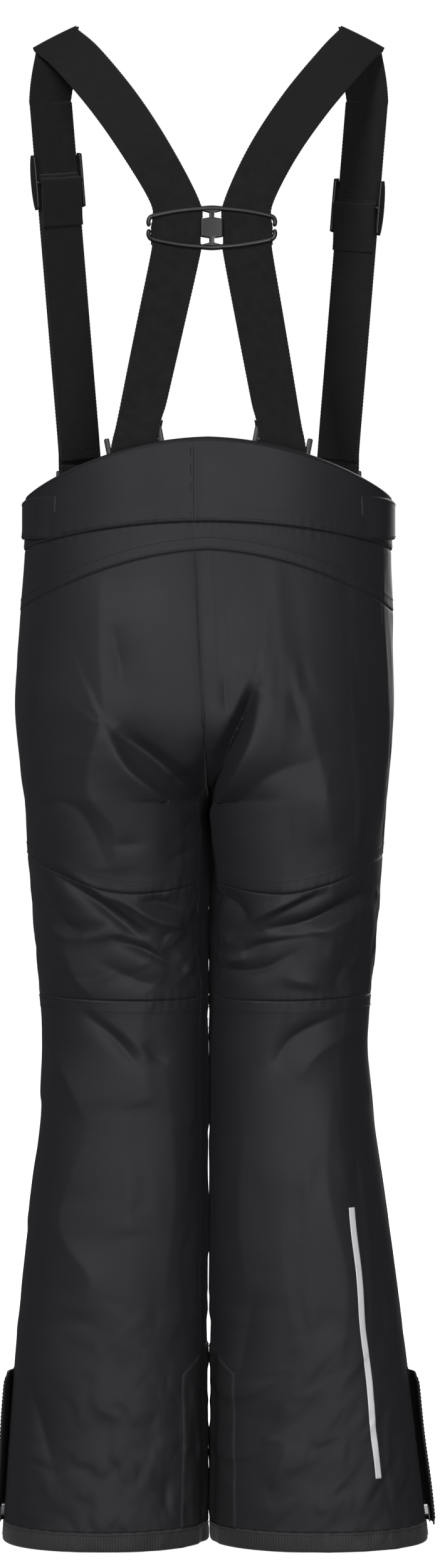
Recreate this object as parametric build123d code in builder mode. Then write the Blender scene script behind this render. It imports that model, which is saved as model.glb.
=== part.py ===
from build123d import *

import os
from math import copysign, cos, radians, sin

os.makedirs("parts", exist_ok=True)

# Ski trousers with elastic braces, worn shape, in millimetres.
# +Z is up, the front of the trousers faces -Y and the wearer's left is +X.
# The origin lies on the floor, midway between the two hems.

# Driving dimensions -------------------------------------------------------------------------
crotch_height = 620
rim_top = 904
cloth = 2.0  # padded outer cloth
lining_gap = 0.3
lining_cloth = 1.2
seam_reach = 200  # cutting planes run this far past the middle
leg_gap = 2.0  # inner edge of each leg, from the middle plane
side_seam = 157  # where the outer ends of the seams are measured
thigh_middle = 77

# height: middle, half width, front depth, back depth, squareness of the oval
trunk_sections = {
    620: (3, 152, 98, 102, 2.6),
    690: (4, 157, 101, 107, 2.4),
    835: (0, 151, 93, 95, 2.2),
    904: (0, 151, 90, 92, 2.2),
}
# height: left and right outer edge, depth, squareness of the oval
leg_sections = {
    0: (171, 182, 62, 2.2),
    159: (160, 163, 64, 2.2),
    252: (151, 151, 65, 2.2),
    346: (140, 137, 66, 2.2),
    408: (137, 131, 68, 2.2),
    455: (140, 135, 72, 2.2),
    545: (148, 143, 88, 2.3),
    620: (153, 147, 96.5, 2.4),
}
# seam: height at the middle plane, at mid thigh and at the side seam
seams = {
    "rim_back": (904, 893, 862),
    "rim_front": (850, 853, 862),
    "waist_back": (835, 831, 818),
    "waist_front": (822, 821, 818),
    "yoke": (813, 800, 767),
    "seat": (547, 537, 567),
    "thigh_front": (560, 556, 567),
    "knee_back": (450, 449, 452),
    "knee_front": (432, 426, 452),
    "hem_top": (16, 16, 16),
    "below_hem": (-5, -5, -5),
}
patch_edge, patch_low, patch_high = 22, 143, 164

strap_width, strap_cloth = 40, 1.6
tape_width, tape_cloth, tape_depth = 24, 1.0, 1.6
teeth_width, teeth_height = 5.0, 2.2
slot_play = 0.4
slider_width, slider_length, slider_top = 9.0, 11.0, 2.4
sides = ((1, "left"), (-1, "right"))
ankle_zip_length, ankle_slider_place = 140, 22
fly_zip_length, pocket_zip_length = 118, 108

plate_x, plate_y, plate_z = -2.8, 88, 1072
plate_half_width, plate_half_height = 54, 17.5
pocket_half_gap = 1.3
shoulder = Vector(126, 0, 1240)
fold_radius, fold_tilt = 4.0, 27
front_turn, back_turn = 33, 17
front_strap_top = Vector(132, -12, 1195)
front_bar = Vector(107.3, -57.6, 878)
back_bar = Vector(59.5, 76, 899)
back_lean = 11.5
bar_radius = 1.5
adjuster_places = {"left": 253, "right": 232}
tail_layer, adjuster_bar = -2.0, -4.6

made = {}


def finish(name, part):
    """Label a finished piece and write it to its own file."""
    part.label = name
    export_step(part, f"parts/{name}.step")
    made[name] = part


# The cloth's surface --------------------------------------------------------------------------
def between(sections, height):
    """Values at a height, in straight lines between the listed sections."""
    heights = sorted(sections)
    low = max([h for h in heights[:-1] if h <= height], default=heights[0])
    high = heights[heights.index(low) + 1]
    share = (height - low) / (high - low)
    return [a + share * (b - a) for a, b in zip(sections[low], sections[high])]


def trunk_oval(height):
    """Middle, half width, front and back depth and squareness of the trunk."""
    return between(trunk_sections, height)


def leg_oval(side):
    """The same for one leg, whose inner edge keeps clear of the other leg."""

    def oval(height):
        left, right, depth, squareness = between(leg_sections, height)
        outer = left if side > 0 else right
        return side * (outer + leg_gap) / 2, (outer - leg_gap) / 2, depth, depth, squareness

    return oval


def signed_power(value, exponent):
    return copysign(abs(value) ** exponent, value)


def cloth_point(oval, angle, height, inset=0):
    """A point of the cloth: a superellipse, by its angle and height."""
    middle, half_width, front, back, squareness = oval(height)
    depth = front if sin(radians(angle)) < 0 else back
    x = middle + (half_width - inset) * signed_power(cos(radians(angle)), 2 / squareness)
    y = (depth - inset) * signed_power(sin(radians(angle)), 2 / squareness)
    return Vector(x, y, height)


def tube(oval, sections, inset, low, high):
    """A solid of the oval's outline, ruled between the section heights."""
    heights = [low, *[h for h in sorted(sections) if low + 1 < h < high - 1], high]
    with BuildPart() as solid:
        for height in heights:
            ring = [cloth_point(oval, 22.5 * k, height, inset) for k in range(16)]
            with BuildSketch(Plane.XY.offset(height)):
                with BuildLine():
                    Spline(*[(p.X, p.Y) for p in ring], periodic=True)
                make_face()
        loft(ruled=True)
    return solid.part


def trunk(inset, low=crotch_height, high=rim_top):
    return tube(trunk_oval, trunk_sections, inset, low, high)


def leg(side, inset, low=0, high=crotch_height):
    return tube(leg_oval(side), leg_sections, inset, low, high)


def hollow_trousers(inset, thickness, low, floor, high):
    """Trunk and two legs in one wall; the floor between the legs is the crotch."""
    with BuildPart() as hollow:
        add(trunk(inset, floor, high))
        for side, _ in sides:
            add(leg(side, inset, low, floor))
        add(trunk(inset + thickness, floor + thickness, high + 3), mode=Mode.SUBTRACT)
        for side, _ in sides:
            add(leg(side, inset + thickness, low - 3, floor + thickness), mode=Mode.SUBTRACT)
    return hollow.part


def seam_block(side, face, upper, lower):
    """The space of one panel: between two seams, on one side, at the front or back."""
    tops, bottoms = seams[upper], seams[lower]
    stations = (0, thigh_middle, side_seam)
    with BuildPart() as block:
        with BuildSketch(Plane.XZ):
            with BuildLine():
                Spline(*[(side * x, z) for x, z in zip(stations, tops)])
                Line((side * side_seam, tops[2]), (side * seam_reach, tops[2]))
                Line((side * seam_reach, tops[2]), (side * seam_reach, bottoms[2]))
                Line((side * seam_reach, bottoms[2]), (side * side_seam, bottoms[2]))
                Spline(*[(side * x, z) for x, z in reversed(list(zip(stations, bottoms)))])
                Line((0, bottoms[0]), (0, tops[0]))
            make_face()
        extrude(amount=-130 if face == "back" else 130)
    return block.part


def cut_panel(name, wall, blocks, holes=(), keep=None):
    """One panel of cloth: the wall inside its blocks, less its slots."""
    with BuildPart() as panel:
        for block in blocks:
            add(block)
        add(wall, mode=Mode.INTERSECT)
        if keep is not None:
            add(keep, mode=Mode.INTERSECT)
        for hole in holes:
            add(hole, mode=Mode.SUBTRACT)
    finish(name, panel.part)


# Zip fasteners ----------------------------------------------------------------------------------
def zip_plane(oval, angle, low, high):
    """Plane on the cloth: x across the zip, y up along it, z out of the cloth."""
    lower, upper = cloth_point(oval, angle, low), cloth_point(oval, angle, high)
    middle = (low + high) / 2
    across = cloth_point(oval, angle + 1, middle) - cloth_point(oval, angle - 1, middle)
    return Plane(origin=lower, x_dir=across, z_dir=across.cross(upper - lower))


def zip_slot(plane, length, open_end=0):
    with BuildPart() as slot:
        with BuildSketch(plane.offset(-8)):
            with Locations((0, -slot_play - open_end)):
                Rectangle(tape_width + 2 * slot_play, length + 2 * slot_play + open_end,
                          align=(Align.CENTER, Align.MIN))
        extrude(amount=16)
    return slot.part


def zip_chain(name, plane, length):
    """Two tapes and the closed coil between them."""
    low_edge = (Align.CENTER, Align.MIN)
    with BuildPart() as chain:
        with BuildSketch(plane.offset(-tape_depth)):
            Rectangle(tape_width, length, align=low_edge)
        extrude(amount=tape_cloth)
        with BuildSketch(plane.offset(-tape_depth)):
            Rectangle(teeth_width, length, align=low_edge)
        extrude(amount=teeth_height)
    finish(name, chain.part)


def zip_slider(name, plane, place, bridge=True):
    """The slider rides astride the coil; its bridge holds the pull's bar."""
    coil_top = teeth_height - tape_depth
    with BuildPart() as slider:
        with BuildSketch(plane.offset(-0.3)):
            with Locations((0, place)):
                RectangleRounded(slider_width, slider_length, 2)
        extrude(amount=slider_top + 0.3)
        with BuildSketch(plane.offset(-0.3)):
            with Locations((0, place)):
                Rectangle(teeth_width + 0.6, slider_length)
        extrude(amount=coil_top + 0.6, mode=Mode.SUBTRACT)
        if bridge:
            with BuildSketch(plane.offset(slider_top)):
                with Locations((0, place)):
                    Rectangle(2, 5.6)
            extrude(amount=3)
            with BuildSketch(plane.offset(slider_top)):
                with Locations((0, place)):
                    Rectangle(2, 2.6)
            extrude(amount=1.8, mode=Mode.SUBTRACT)
    finish(name, slider.part)


def zip_pull(name, plane, place):
    """A flat pull that swings on a bar under the slider's bridge."""
    bar_height = slider_top + 0.9
    with BuildPart() as pull:
        with BuildSketch(plane.offset(bar_height - 0.6)):
            with Locations((0, place - 13)):
                RectangleRounded(6.4, 26, 1.4)
            with Locations((0, place)):
                Rectangle(8, 4, mode=Mode.SUBTRACT)
                Rectangle(6.4, 4, align=(Align.CENTER, Align.MAX))
            with Locations((0, place)):
                Rectangle(3.2, 3.9, align=(Align.CENTER, Align.MAX), mode=Mode.SUBTRACT)
        extrude(amount=1.2)
        across = Plane(origin=plane.from_local_coords((-3.2, place, bar_height)),
                       x_dir=plane.y_dir, z_dir=plane.x_dir)
        with BuildSketch(across):
            Circle(0.6)
        extrude(amount=6.4)
    finish(name, pull.part)


def tucked_pull(name, plane, place):
    """The short pull of an ankle zip, flat on its slider under the storm flap."""
    with BuildPart() as pull:
        with BuildSketch(plane.offset(slider_top)):
            with Locations((0, place - 4)):
                RectangleRounded(6.4, 14, 2)
        extrude(amount=1.1)
    finish(name, pull.part)


# Braces -----------------------------------------------------------------------------------------
def band(stations, width=strap_width, thickness=strap_cloth):
    """Flat elastic through stations, each a middle point, a direction across and one along."""
    with BuildPart() as strip:
        for middle, across, along in stations:
            with BuildSketch(Plane(origin=middle, x_dir=across, z_dir=along)):
                Rectangle(width, thickness)
        loft(ruled=True)
    return strip.part


def bar_loop(bar, upward, across):
    """The sewn end of a strap: a flat loop round a hook's bar, square to the bar."""
    inner = bar_radius + 0.3
    upward = upward - across * upward.dot(across)
    with BuildPart() as loop:
        with BuildSketch(Plane(origin=bar, x_dir=upward, z_dir=across)):
            with Locations((6.6, 0)):
                SlotOverall(20, 2 * (inner + strap_cloth))
                SlotOverall(20 - 2 * strap_cloth, 2 * inner, mode=Mode.SUBTRACT)
        extrude(amount=strap_width / 2, both=True)
    return loop.part


def hook_plane(side, face):
    """Plane of a hook: x along its bar, y up, z out towards the waistband."""
    turn = radians(front_turn if face == "front" else back_turn)
    bar = front_bar if face == "front" else back_bar
    outward = Vector(side * sin(turn), -cos(turn) if face == "front" else cos(turn), 0)
    plane = Plane(origin=(side * bar.X, bar.Y, bar.Z),
                  x_dir=Vector(0, 0, 1).cross(outward), z_dir=outward)
    return plane.rotated((0, 0, 0 if face == "front" else side * back_lean))


def brace_hook(name, plane):
    """Moulded hook: two arms, the strap's bar, a brace bar and an open bottom bar."""
    with BuildPart() as hook:
        with BuildSketch(plane.offset(-1.5)):
            with Locations((22.75, -16.5), (-22.75, -16.5)):
                SlotOverall(53, 4.5, rotation=90)
            with Locations((0, -11)):
                Rectangle(44, 3)
        extrude(amount=3)
        for start, length in ((-21, 42), (-21, 16), (5, 16)):
            height = 0 if length == 42 else -40
            radius = bar_radius if length == 42 else 2
            across = Plane(origin=plane.from_local_coords((start, height, 0)),
                           x_dir=plane.y_dir, z_dir=plane.x_dir)
            with BuildSketch(across):
                Circle(radius)
            extrude(amount=length)
    finish(name, hook.part)


def webbing_loop(plane):
    """Slack webbing loop inside the waistband; the hook's bottom bar hangs in it."""
    side_view = Plane(origin=plane.from_local_coords((-17, -40, -1.75)),
                      x_dir=plane.y_dir, z_dir=plane.x_dir)
    with BuildPart() as loop:
        with BuildSketch(side_view):
            RectangleRounded(14, 15.1, 3)
            with Locations((-11, 6.2)):
                RectangleRounded(16, 2.6, 1)
            RectangleRounded(11.4, 12.7, 2.5, mode=Mode.SUBTRACT)
        extrude(amount=34)
    return loop.part


def front_line(side):
    """Lower end, upward direction and across direction of a straight front strap."""
    lower = Vector(side * front_bar.X, front_bar.Y, front_bar.Z)
    upper = Vector(side * front_strap_top.X, front_strap_top.Y, front_strap_top.Z)
    upward = (upper - lower).normalized()
    level = Vector(cos(radians(front_turn)), side * sin(radians(front_turn)), 0)
    return lower, upward, (level - upward * level.dot(upward)).normalized()


def front_strap_plane(side):
    """Plane of a front strap: x across, y up along it, z out to the front."""
    lower, upward, across = front_line(side)
    return Plane(origin=lower, x_dir=across, z_dir=across.cross(upward))


def over_shoulder(side):
    """Stations from the keeper plate, over the shoulder and down to the front hook."""
    level = Vector(1, 0, 0)
    fold = Vector(cos(radians(fold_tilt)), 0, -side * sin(radians(fold_tilt)))
    lift = Vector(side * sin(radians(fold_tilt)), 0, cos(radians(fold_tilt)))
    at_plate = Vector(side * 29 + plate_x, plate_y, plate_z)
    stations = [(at_plate, level, (0, 0, 1)), (at_plate + Vector(0, 0, 19), level, (0, 0, 1))]
    rise = ((50, 77, 1134, 10), (78, 48, 1180, 20), (109, 16, 1222, 26))
    for x, y, z, tilt in rise:
        across = Vector(cos(radians(tilt)), 0, -side * sin(radians(tilt)))
        upward = Vector(side * sin(radians(tilt)), -0.6, cos(radians(tilt)))
        stations.append((Vector(side * x + plate_x / 2, y, z), across, upward))
    middle = Vector(side * shoulder.X, shoulder.Y, shoulder.Z)
    for turn in range(0, 181, 30):
        back, up = cos(radians(turn)), sin(radians(turn))
        place = middle + Vector(0, fold_radius * back, 0) + lift * (fold_radius * up)
        stations.append((place, fold, lift * back - Vector(0, up, 0)))
    lower, upward, across = front_line(side)
    top = Vector(side * front_strap_top.X, front_strap_top.Y, front_strap_top.Z)
    stations.append((top, across, -upward))
    along_bar = hook_plane(side, "front").x_dir
    stations.append((lower + upward * 16, along_bar,
                     along_bar * upward.dot(along_bar) - upward))
    return stations


def down_to_hook(side):
    """Stations of the lower back strap, from the keeper plate to the back hook."""
    plane = hook_plane(side, "back")
    at_plate = Vector(side * 29 + plate_x, plate_y, plate_z)
    bend = at_plate - Vector(0, 0, 20)
    upward = (bend - plane.origin).normalized()
    stations = [(at_plate, (1, 0, 0), (0, 0, -1)), (bend, (1, 0, 0), (0, 0, -1))]
    stations.append((plane.origin + upward * 16, plane.x_dir * -1, upward * -1))
    return stations, upward


def tail_stations(side, place):
    """Stations of the sewn tail: up from the hook, round the adjuster's bar and back."""
    plane = front_strap_plane(side)
    route = [(20.6, tail_layer, 0), (place, tail_layer, 0)]
    radius = tail_layer - adjuster_bar
    for turn in (45, 90, 135, 180):
        up, out = sin(radians(turn)), cos(radians(turn))
        route.append((place + radius * up, adjuster_bar + radius * out, turn))
    route += [(place - 29, tail_layer - 1.9, 180), (place - 37, tail_layer - 1.75, 180)]
    stations = []
    for height, layer, turn in route:
        heading = plane.y_dir * cos(radians(turn)) - plane.z_dir * sin(radians(turn))
        stations.append((plane.from_local_coords((0, height, layer)), plane.x_dir, heading))
    return stations


def adjuster(name, side, place):
    """Ladder adjuster: cheeks, three front bars and the rear bar that holds the tail."""
    plane = front_strap_plane(side)
    with BuildPart() as buckle:
        with BuildSketch(plane.offset(-6.6)):
            with Locations((0, place)):
                RectangleRounded(48, 44, 9)
        extrude(amount=11)
        with BuildSketch(plane.offset(-6.6)):
            with Locations((0, place)):
                Rectangle(41, 46)
        extrude(amount=8, mode=Mode.SUBTRACT)
        with BuildSketch(plane.offset(1)):
            with Locations((0, place + 9), (0, place - 9)):
                Rectangle(36, 11)
        extrude(amount=5, mode=Mode.SUBTRACT)
        with BuildSketch(plane.offset(-3.6)):
            with Locations((0, place + 18)):
                Rectangle(44, 4)
        extrude(amount=2.2)
        across = Plane(origin=plane.from_local_coords((-21, place, adjuster_bar)),
                       x_dir=plane.y_dir, z_dir=plane.x_dir)
        with BuildSketch(across):
            Circle(bar_radius)
        extrude(amount=42)
    finish(name, buckle.part)


def keeper_plate():
    """Lens-shaped keeper: a slot for each back strap, windows and a web between them."""
    plane = Plane(origin=(plate_x, plate_y, plate_z), x_dir=(-1, 0, 0), z_dir=(0, 1, 0))
    lens = ((-plate_half_width, 9), (0, plate_half_height), (plate_half_width, 9))
    with BuildPart() as plate:
        with BuildSketch(plane.offset(-3.4)):
            with BuildLine():
                ThreePointArc(*lens)
                Line((plate_half_width, 9), (plate_half_width, -9))
                ThreePointArc(*[(-x, -y) for x, y in lens])
                Line((-plate_half_width, -9), (-plate_half_width, 9))
            make_face()
        extrude(amount=7.6)
        fillet(plate.edges().filter_by(Axis.Y), 6)
        with BuildSketch(plane.offset(-5)):
            for x in (-28, 28):
                with BuildLine():
                    ThreePointArc((x - 21, 8), (x, 11), (x + 21, 8))
                    Line((x + 21, 8), (x + 21, -8))
                    ThreePointArc((x + 21, -8), (x, -11), (x - 21, -8))
                    Line((x - 21, -8), (x - 21, 8))
                make_face()
        extrude(amount=12, mode=Mode.SUBTRACT)
        with BuildSketch(plane.offset(-pocket_half_gap)):
            with Locations((-28.5, 0), (28.5, 0)):
                Rectangle(46, 50)
        extrude(amount=2 * pocket_half_gap, mode=Mode.SUBTRACT)
        with BuildSketch(plane.offset(-5)):
            with GridLocations(6, 21, 2, 2):
                Rectangle(3, 4)
        extrude(amount=12, mode=Mode.SUBTRACT)
    finish("back_plate", plate.part)


# The trousers -----------------------------------------------------------------------------------
shell = hollow_trousers(0, cloth, 0, crotch_height, rim_top)
fly_plane = zip_plane(trunk_oval, -90, 700, 820)
fly_slot = zip_slot(fly_plane, fly_zip_length)

with BuildPart() as patch_space:
    with BuildSketch(Plane.XZ):
        with BuildLine():
            Polyline((-patch_edge, 16), (-patch_edge, patch_low), (0, patch_high),
                     (patch_edge, patch_low), (patch_edge, 16), close=True)
        make_face()
    extrude(amount=130, both=True)

blocks = [seam_block(side, "back", "rim_back", "waist_back") for side, _ in sides]
cut_panel("waistband_back", shell, blocks)

for side, hand in sides:
    ankle = zip_plane(leg_oval(side), 0 if side > 0 else 180, 2, 150)
    ankle_slot = zip_slot(ankle, ankle_zip_length, open_end=10)
    pocket = zip_plane(trunk_oval, -40 if side > 0 else -140, 701, 812)
    pocket_slot = zip_slot(pocket, pocket_zip_length)

    for name, face, upper, lower, holes in (
        ("yoke_back", "back", "waist_back", "yoke", []),
        ("seat_panel", "back", "yoke", "seat", []),
        ("knee_back", "back", "seat", "knee_back", []),
        ("shin_back", "back", "knee_back", "hem_top", [patch_space.part, ankle_slot]),
        ("front_panel", "front", "waist_front", "thigh_front", [fly_slot, pocket_slot]),
        ("knee_front", "front", "thigh_front", "knee_front", []),
        ("shin_front", "front", "knee_front", "hem_top", [patch_space.part, ankle_slot]),
    ):
        cut_panel(f"{name}_{hand}", shell, [seam_block(side, face, upper, lower)], holes)

    around = [seam_block(side, face, "knee_back", "below_hem") for face in ("front", "back")]
    cut_panel(f"ankle_patch_{hand}", shell, around, keep=patch_space.part)
    hem_blocks = [seam_block(side, face, "hem_top", "below_hem") for face in ("front", "back")]
    cut_panel(f"hem_binding_{hand}", shell, hem_blocks, [ankle_slot])

    zip_chain(f"ankle_zip_{hand}", ankle, ankle_zip_length)
    zip_slider(f"ankle_slider_{hand}", ankle, ankle_slider_place, bridge=False)
    tucked_pull(f"ankle_pull_{hand}", ankle, ankle_slider_place)
    zip_chain(f"pocket_zip_{hand}", pocket, pocket_zip_length)
    zip_slider(f"pocket_slider_{hand}", pocket, pocket_zip_length - 8)
    zip_pull(f"pocket_pull_{hand}", pocket, pocket_zip_length - 8)

    # Storm flap over the ankle zip: sewn at its front edge, standing off at its free edge
    along = Plane(origin=ankle.from_local_coords((0, 136, 0)), x_dir=ankle.x_dir,
                  z_dir=ankle.y_dir * -1)
    with BuildPart() as flap:
        with BuildSketch(along):
            with BuildLine():
                ThreePointArc((-side * 18, -1.2), (-side * 7, 4.6), (side * 10, 6.0))
                Line((side * 10, 6.0), (side * 10, 7.2))
                ThreePointArc((side * 10, 7.2), (-side * 7.6, 5.7), (-side * 19.1, -0.8))
                Line((-side * 19.1, -0.8), (-side * 18, -1.2))
            make_face()
        extrude(amount=126)
    finish(f"vent_flap_{hand}", flap.part)

    # Snow gaiter: a cone of thin cloth from the lining to an elastic hem round the boot
    with BuildPart() as gaiter:
        for inset, mode in ((0, Mode.ADD), (lining_cloth, Mode.SUBTRACT)):
            with BuildPart(mode=Mode.PRIVATE) as cone:
                for height, room in ((24, (23, 12)), (150, (4, 4))):
                    middle, wide, deep = leg_oval(side)(height)[:3]
                    with BuildSketch(Plane.XY.offset(height)):
                        with Locations((middle, 0)):
                            Ellipse(wide - room[0] - inset, deep - room[1] - inset)
                loft(ruled=True)
            add(cone.part, mode=mode)
    finish(f"snow_gaiter_{hand}", gaiter.part)

    # Waist tab: hook-and-loop strap round the side, sewn at its rear edge
    with BuildPart() as tab:
        with BuildSketch(Plane.YZ.offset(side * 60)):
            with BuildLine():
                Polyline((60, 860), (60, 823), (-36, 829), (-40, 834), (-40, 851), (-36, 856),
                         close=True)
            make_face()
        extrude(amount=side * 120)
        add(trunk(-3.6, 815, 880), mode=Mode.INTERSECT)
        add(trunk(-1.6, 815, 880), mode=Mode.SUBTRACT)
    finish(f"waist_tab_{hand}", tab.part)

    hook_front, hook_back = hook_plane(side, "front"), hook_plane(side, "back")
    brace_hook(f"front_hook_{hand}", hook_front)
    brace_hook(f"back_hook_{hand}", hook_back)
    lower, upward, _ = front_line(side)
    with BuildPart() as strap:
        add(band(over_shoulder(side)))
        add(bar_loop(lower, upward, hook_front.x_dir))
    finish(f"strap_{hand}", strap.part)
    stations, upward = down_to_hook(side)
    with BuildPart() as strap:
        add(band(stations))
        add(bar_loop(hook_back.origin, upward, hook_back.x_dir))
    finish(f"strap_lower_{hand}", strap.part)
    finish(f"strap_tail_{hand}", band(tail_stations(side, adjuster_places[hand]), width=38))
    adjuster(f"adjuster_{hand}", side, adjuster_places[hand])

# Front waistband: the left half carries an overlapping tab with two press studs
with BuildPart() as overlap:
    with BuildSketch(Plane.XZ):
        with Locations((-13, 836)):
            RectangleRounded(44, 24, 4)
    extrude(amount=130)
    add(trunk(-2.6, 800, 880), mode=Mode.INTERSECT)
    with BuildPart(mode=Mode.PRIVATE) as right_side:
        add(trunk(-0.5, 800, 880))
        with Locations((-50, 0, 840)):
            Box(100, 240, 90, mode=Mode.INTERSECT)
    add(right_side.part, mode=Mode.SUBTRACT)
    add(trunk(0, 800, 880), mode=Mode.SUBTRACT)
for side, hand in sides:
    with BuildPart() as band_front:
        add(seam_block(side, "front", "rim_front", "waist_front"))
        add(shell, mode=Mode.INTERSECT)
        if side > 0:
            add(overlap.part)
    finish(f"waistband_front_{hand}", band_front.part)

with BuildPart() as snaps:
    for x in (-10, -26):
        face = cloth_point(trunk_oval, -90, 836, -2.9)
        with BuildSketch(Plane(origin=(x, face.Y, 836), x_dir=(1, 0, 0), z_dir=(0, -1, 0))):
            Circle(5.5)
        extrude(amount=1.8, taper=20)
finish("waist_snaps", snaps.part)

with BuildPart() as pads:
    for side, _ in sides:
        with BuildPart(mode=Mode.PRIVATE) as pad:
            with BuildSketch(Plane.YZ.offset(side * 60)):
                with Locations((-40, 840)):
                    RectangleRounded(62, 26, 3)
            extrude(amount=side * 120)
            add(trunk(-1.3, 815, 880), mode=Mode.INTERSECT)
            add(trunk(-0.3, 815, 880), mode=Mode.SUBTRACT)
        add(pad.part)
finish("tab_loop_pads", pads.part)

with BuildPart() as loops:
    for side, _ in sides:
        for face in ("front", "back"):
            add(webbing_loop(hook_plane(side, face)))
finish("brace_loops", loops.part)

finish("lining", hollow_trousers(cloth + lining_gap, lining_cloth, 20,
                                 crotch_height + cloth + lining_gap, 815))

zip_chain("fly_zip", fly_plane, fly_zip_length)
zip_slider("fly_slider", fly_plane, fly_zip_length - 8)
zip_pull("fly_pull", fly_plane, fly_zip_length - 8)

with BuildPart() as strip:
    with BuildSketch(Plane.XZ):
        with BuildLine():
            Polyline((-113.5, 280), (-118.5, 280), (-140.5, 59), (-135.5, 59), close=True)
        make_face()
    extrude(amount=-130)
    add(leg(-1, -0.5), mode=Mode.INTERSECT)
    add(leg(-1, -0.1), mode=Mode.SUBTRACT)
finish("reflective_strip", strip.part)

keeper_plate()

for name, part in made.items():
    print(f"{name:24s} {len(part.solids()):2d} solid(s) {part.volume / 1000:9.2f} cm3")
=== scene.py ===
"""Looks of a pair of padded ski trousers with elastic braces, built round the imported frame.

Lengths inside the functions are millimetres in the frame's own axes: +Z up, the front of the
trousers towards -Y and the wearer's left at +X. Meshes are written in metres, and so are the
thicknesses of cloth and the sizes in the sidebar.
"""

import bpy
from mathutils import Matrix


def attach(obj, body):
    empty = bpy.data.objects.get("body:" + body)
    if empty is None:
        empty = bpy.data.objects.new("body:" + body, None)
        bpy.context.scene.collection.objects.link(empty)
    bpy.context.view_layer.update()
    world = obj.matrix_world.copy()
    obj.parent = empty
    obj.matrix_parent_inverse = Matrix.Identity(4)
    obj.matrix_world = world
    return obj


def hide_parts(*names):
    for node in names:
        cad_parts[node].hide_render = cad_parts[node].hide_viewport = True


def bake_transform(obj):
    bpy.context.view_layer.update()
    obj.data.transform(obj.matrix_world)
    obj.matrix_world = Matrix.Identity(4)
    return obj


bl_info = {
    "name": "Ski Trousers with Braces",
    "version": (1, 0, 0),
    "blender": (4, 5, 0),
    "location": "View3D > Sidebar > Trousers",
    "description": "Builds sewn ski trousers, their elastic braces and a plain studio",
    "category": "Add Mesh",
}

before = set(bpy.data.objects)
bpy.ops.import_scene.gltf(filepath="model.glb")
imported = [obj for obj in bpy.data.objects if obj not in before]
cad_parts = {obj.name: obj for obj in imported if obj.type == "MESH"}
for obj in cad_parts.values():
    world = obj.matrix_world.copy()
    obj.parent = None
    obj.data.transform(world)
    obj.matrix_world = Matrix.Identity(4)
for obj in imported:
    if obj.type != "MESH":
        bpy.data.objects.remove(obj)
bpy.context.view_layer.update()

import bmesh
import bpy
import numpy as np
from mathutils import Vector

MM = 0.001
SIDES = ((1, "left"), (-1, "right"))
CROTCH = 620
CROTCH_CURVE = (612, 692)  # the seat and the fly curve under to the crotch between these
LEG_TOP, LEG_GAP = 600, 2.0
STITCH_PITCH = 1.22  # spacing of the stitches, in stitch lengths
SEWN = 0.12  # how far the top-stitching stands off its cloth
POCKET_X = 110  # how far the middle of a pocket is from the middle plane
# height: how far each leg's inner side keeps from the middle plane; the legs touch at 0
GAPS = {0: 1.2, 90: 1.05, 99: 1.5, 108: 1.5, 114: 1.05, 120: 1.6, 140: 1.6, 148: 1.05,
        158: 1.5, 180: 1.3, 188: 0.2, 200: 0.6, 206: 0, 330: 0, 338: 0.5, 346: 0, 416: 0,
        424: 0.7, 436: 0.7, 446: 0, 620: 0}
PATCH_EDGE, PATCH_LOW, PATCH_HIGH = 22, 143, 164

# height: middle, half width, front depth, back depth, squareness of the trunk's oval
TRUNK = {
    620: (3, 152, 98, 102, 2.6),
    690: (4, 157, 101, 107, 2.4),
    835: (0, 151, 93, 95, 2.2),
    904: (0, 151, 90, 92, 2.2),
}
# height: left and right outer edge, depth, squareness of a leg's oval
LEGS = {
    0: (171, 182, 62, 2.2),
    159: (160, 163, 64, 2.2),
    252: (151, 151, 65, 2.2),
    346: (140, 137, 66, 2.2),
    408: (137, 131, 68, 2.2),
    455: (140, 135, 72, 2.2),
    545: (148, 143, 88, 2.3),
    620: (153, 147, 96.5, 2.4),
}
# seam: height at the middle plane, at mid thigh and at the side seam
SEAM_STATIONS = (0, 77, 157)
SEAMS = {
    "rim_back": (904, 893, 862),
    "rim_front": (850, 853, 862),
    "waist_back": (835, 831, 818),
    "waist_front": (822, 821, 818),
    "yoke": (813, 800, 767),
    "seat": (547, 537, 567),
    "thigh_front": (560, 556, 567),
    "knee_back": (450, 449, 452),
    "knee_front": (432, 426, 452),
    "hem_top": (16, 16, 16),
    "hem": (0.3, 0.3, 0.3),
}

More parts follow.
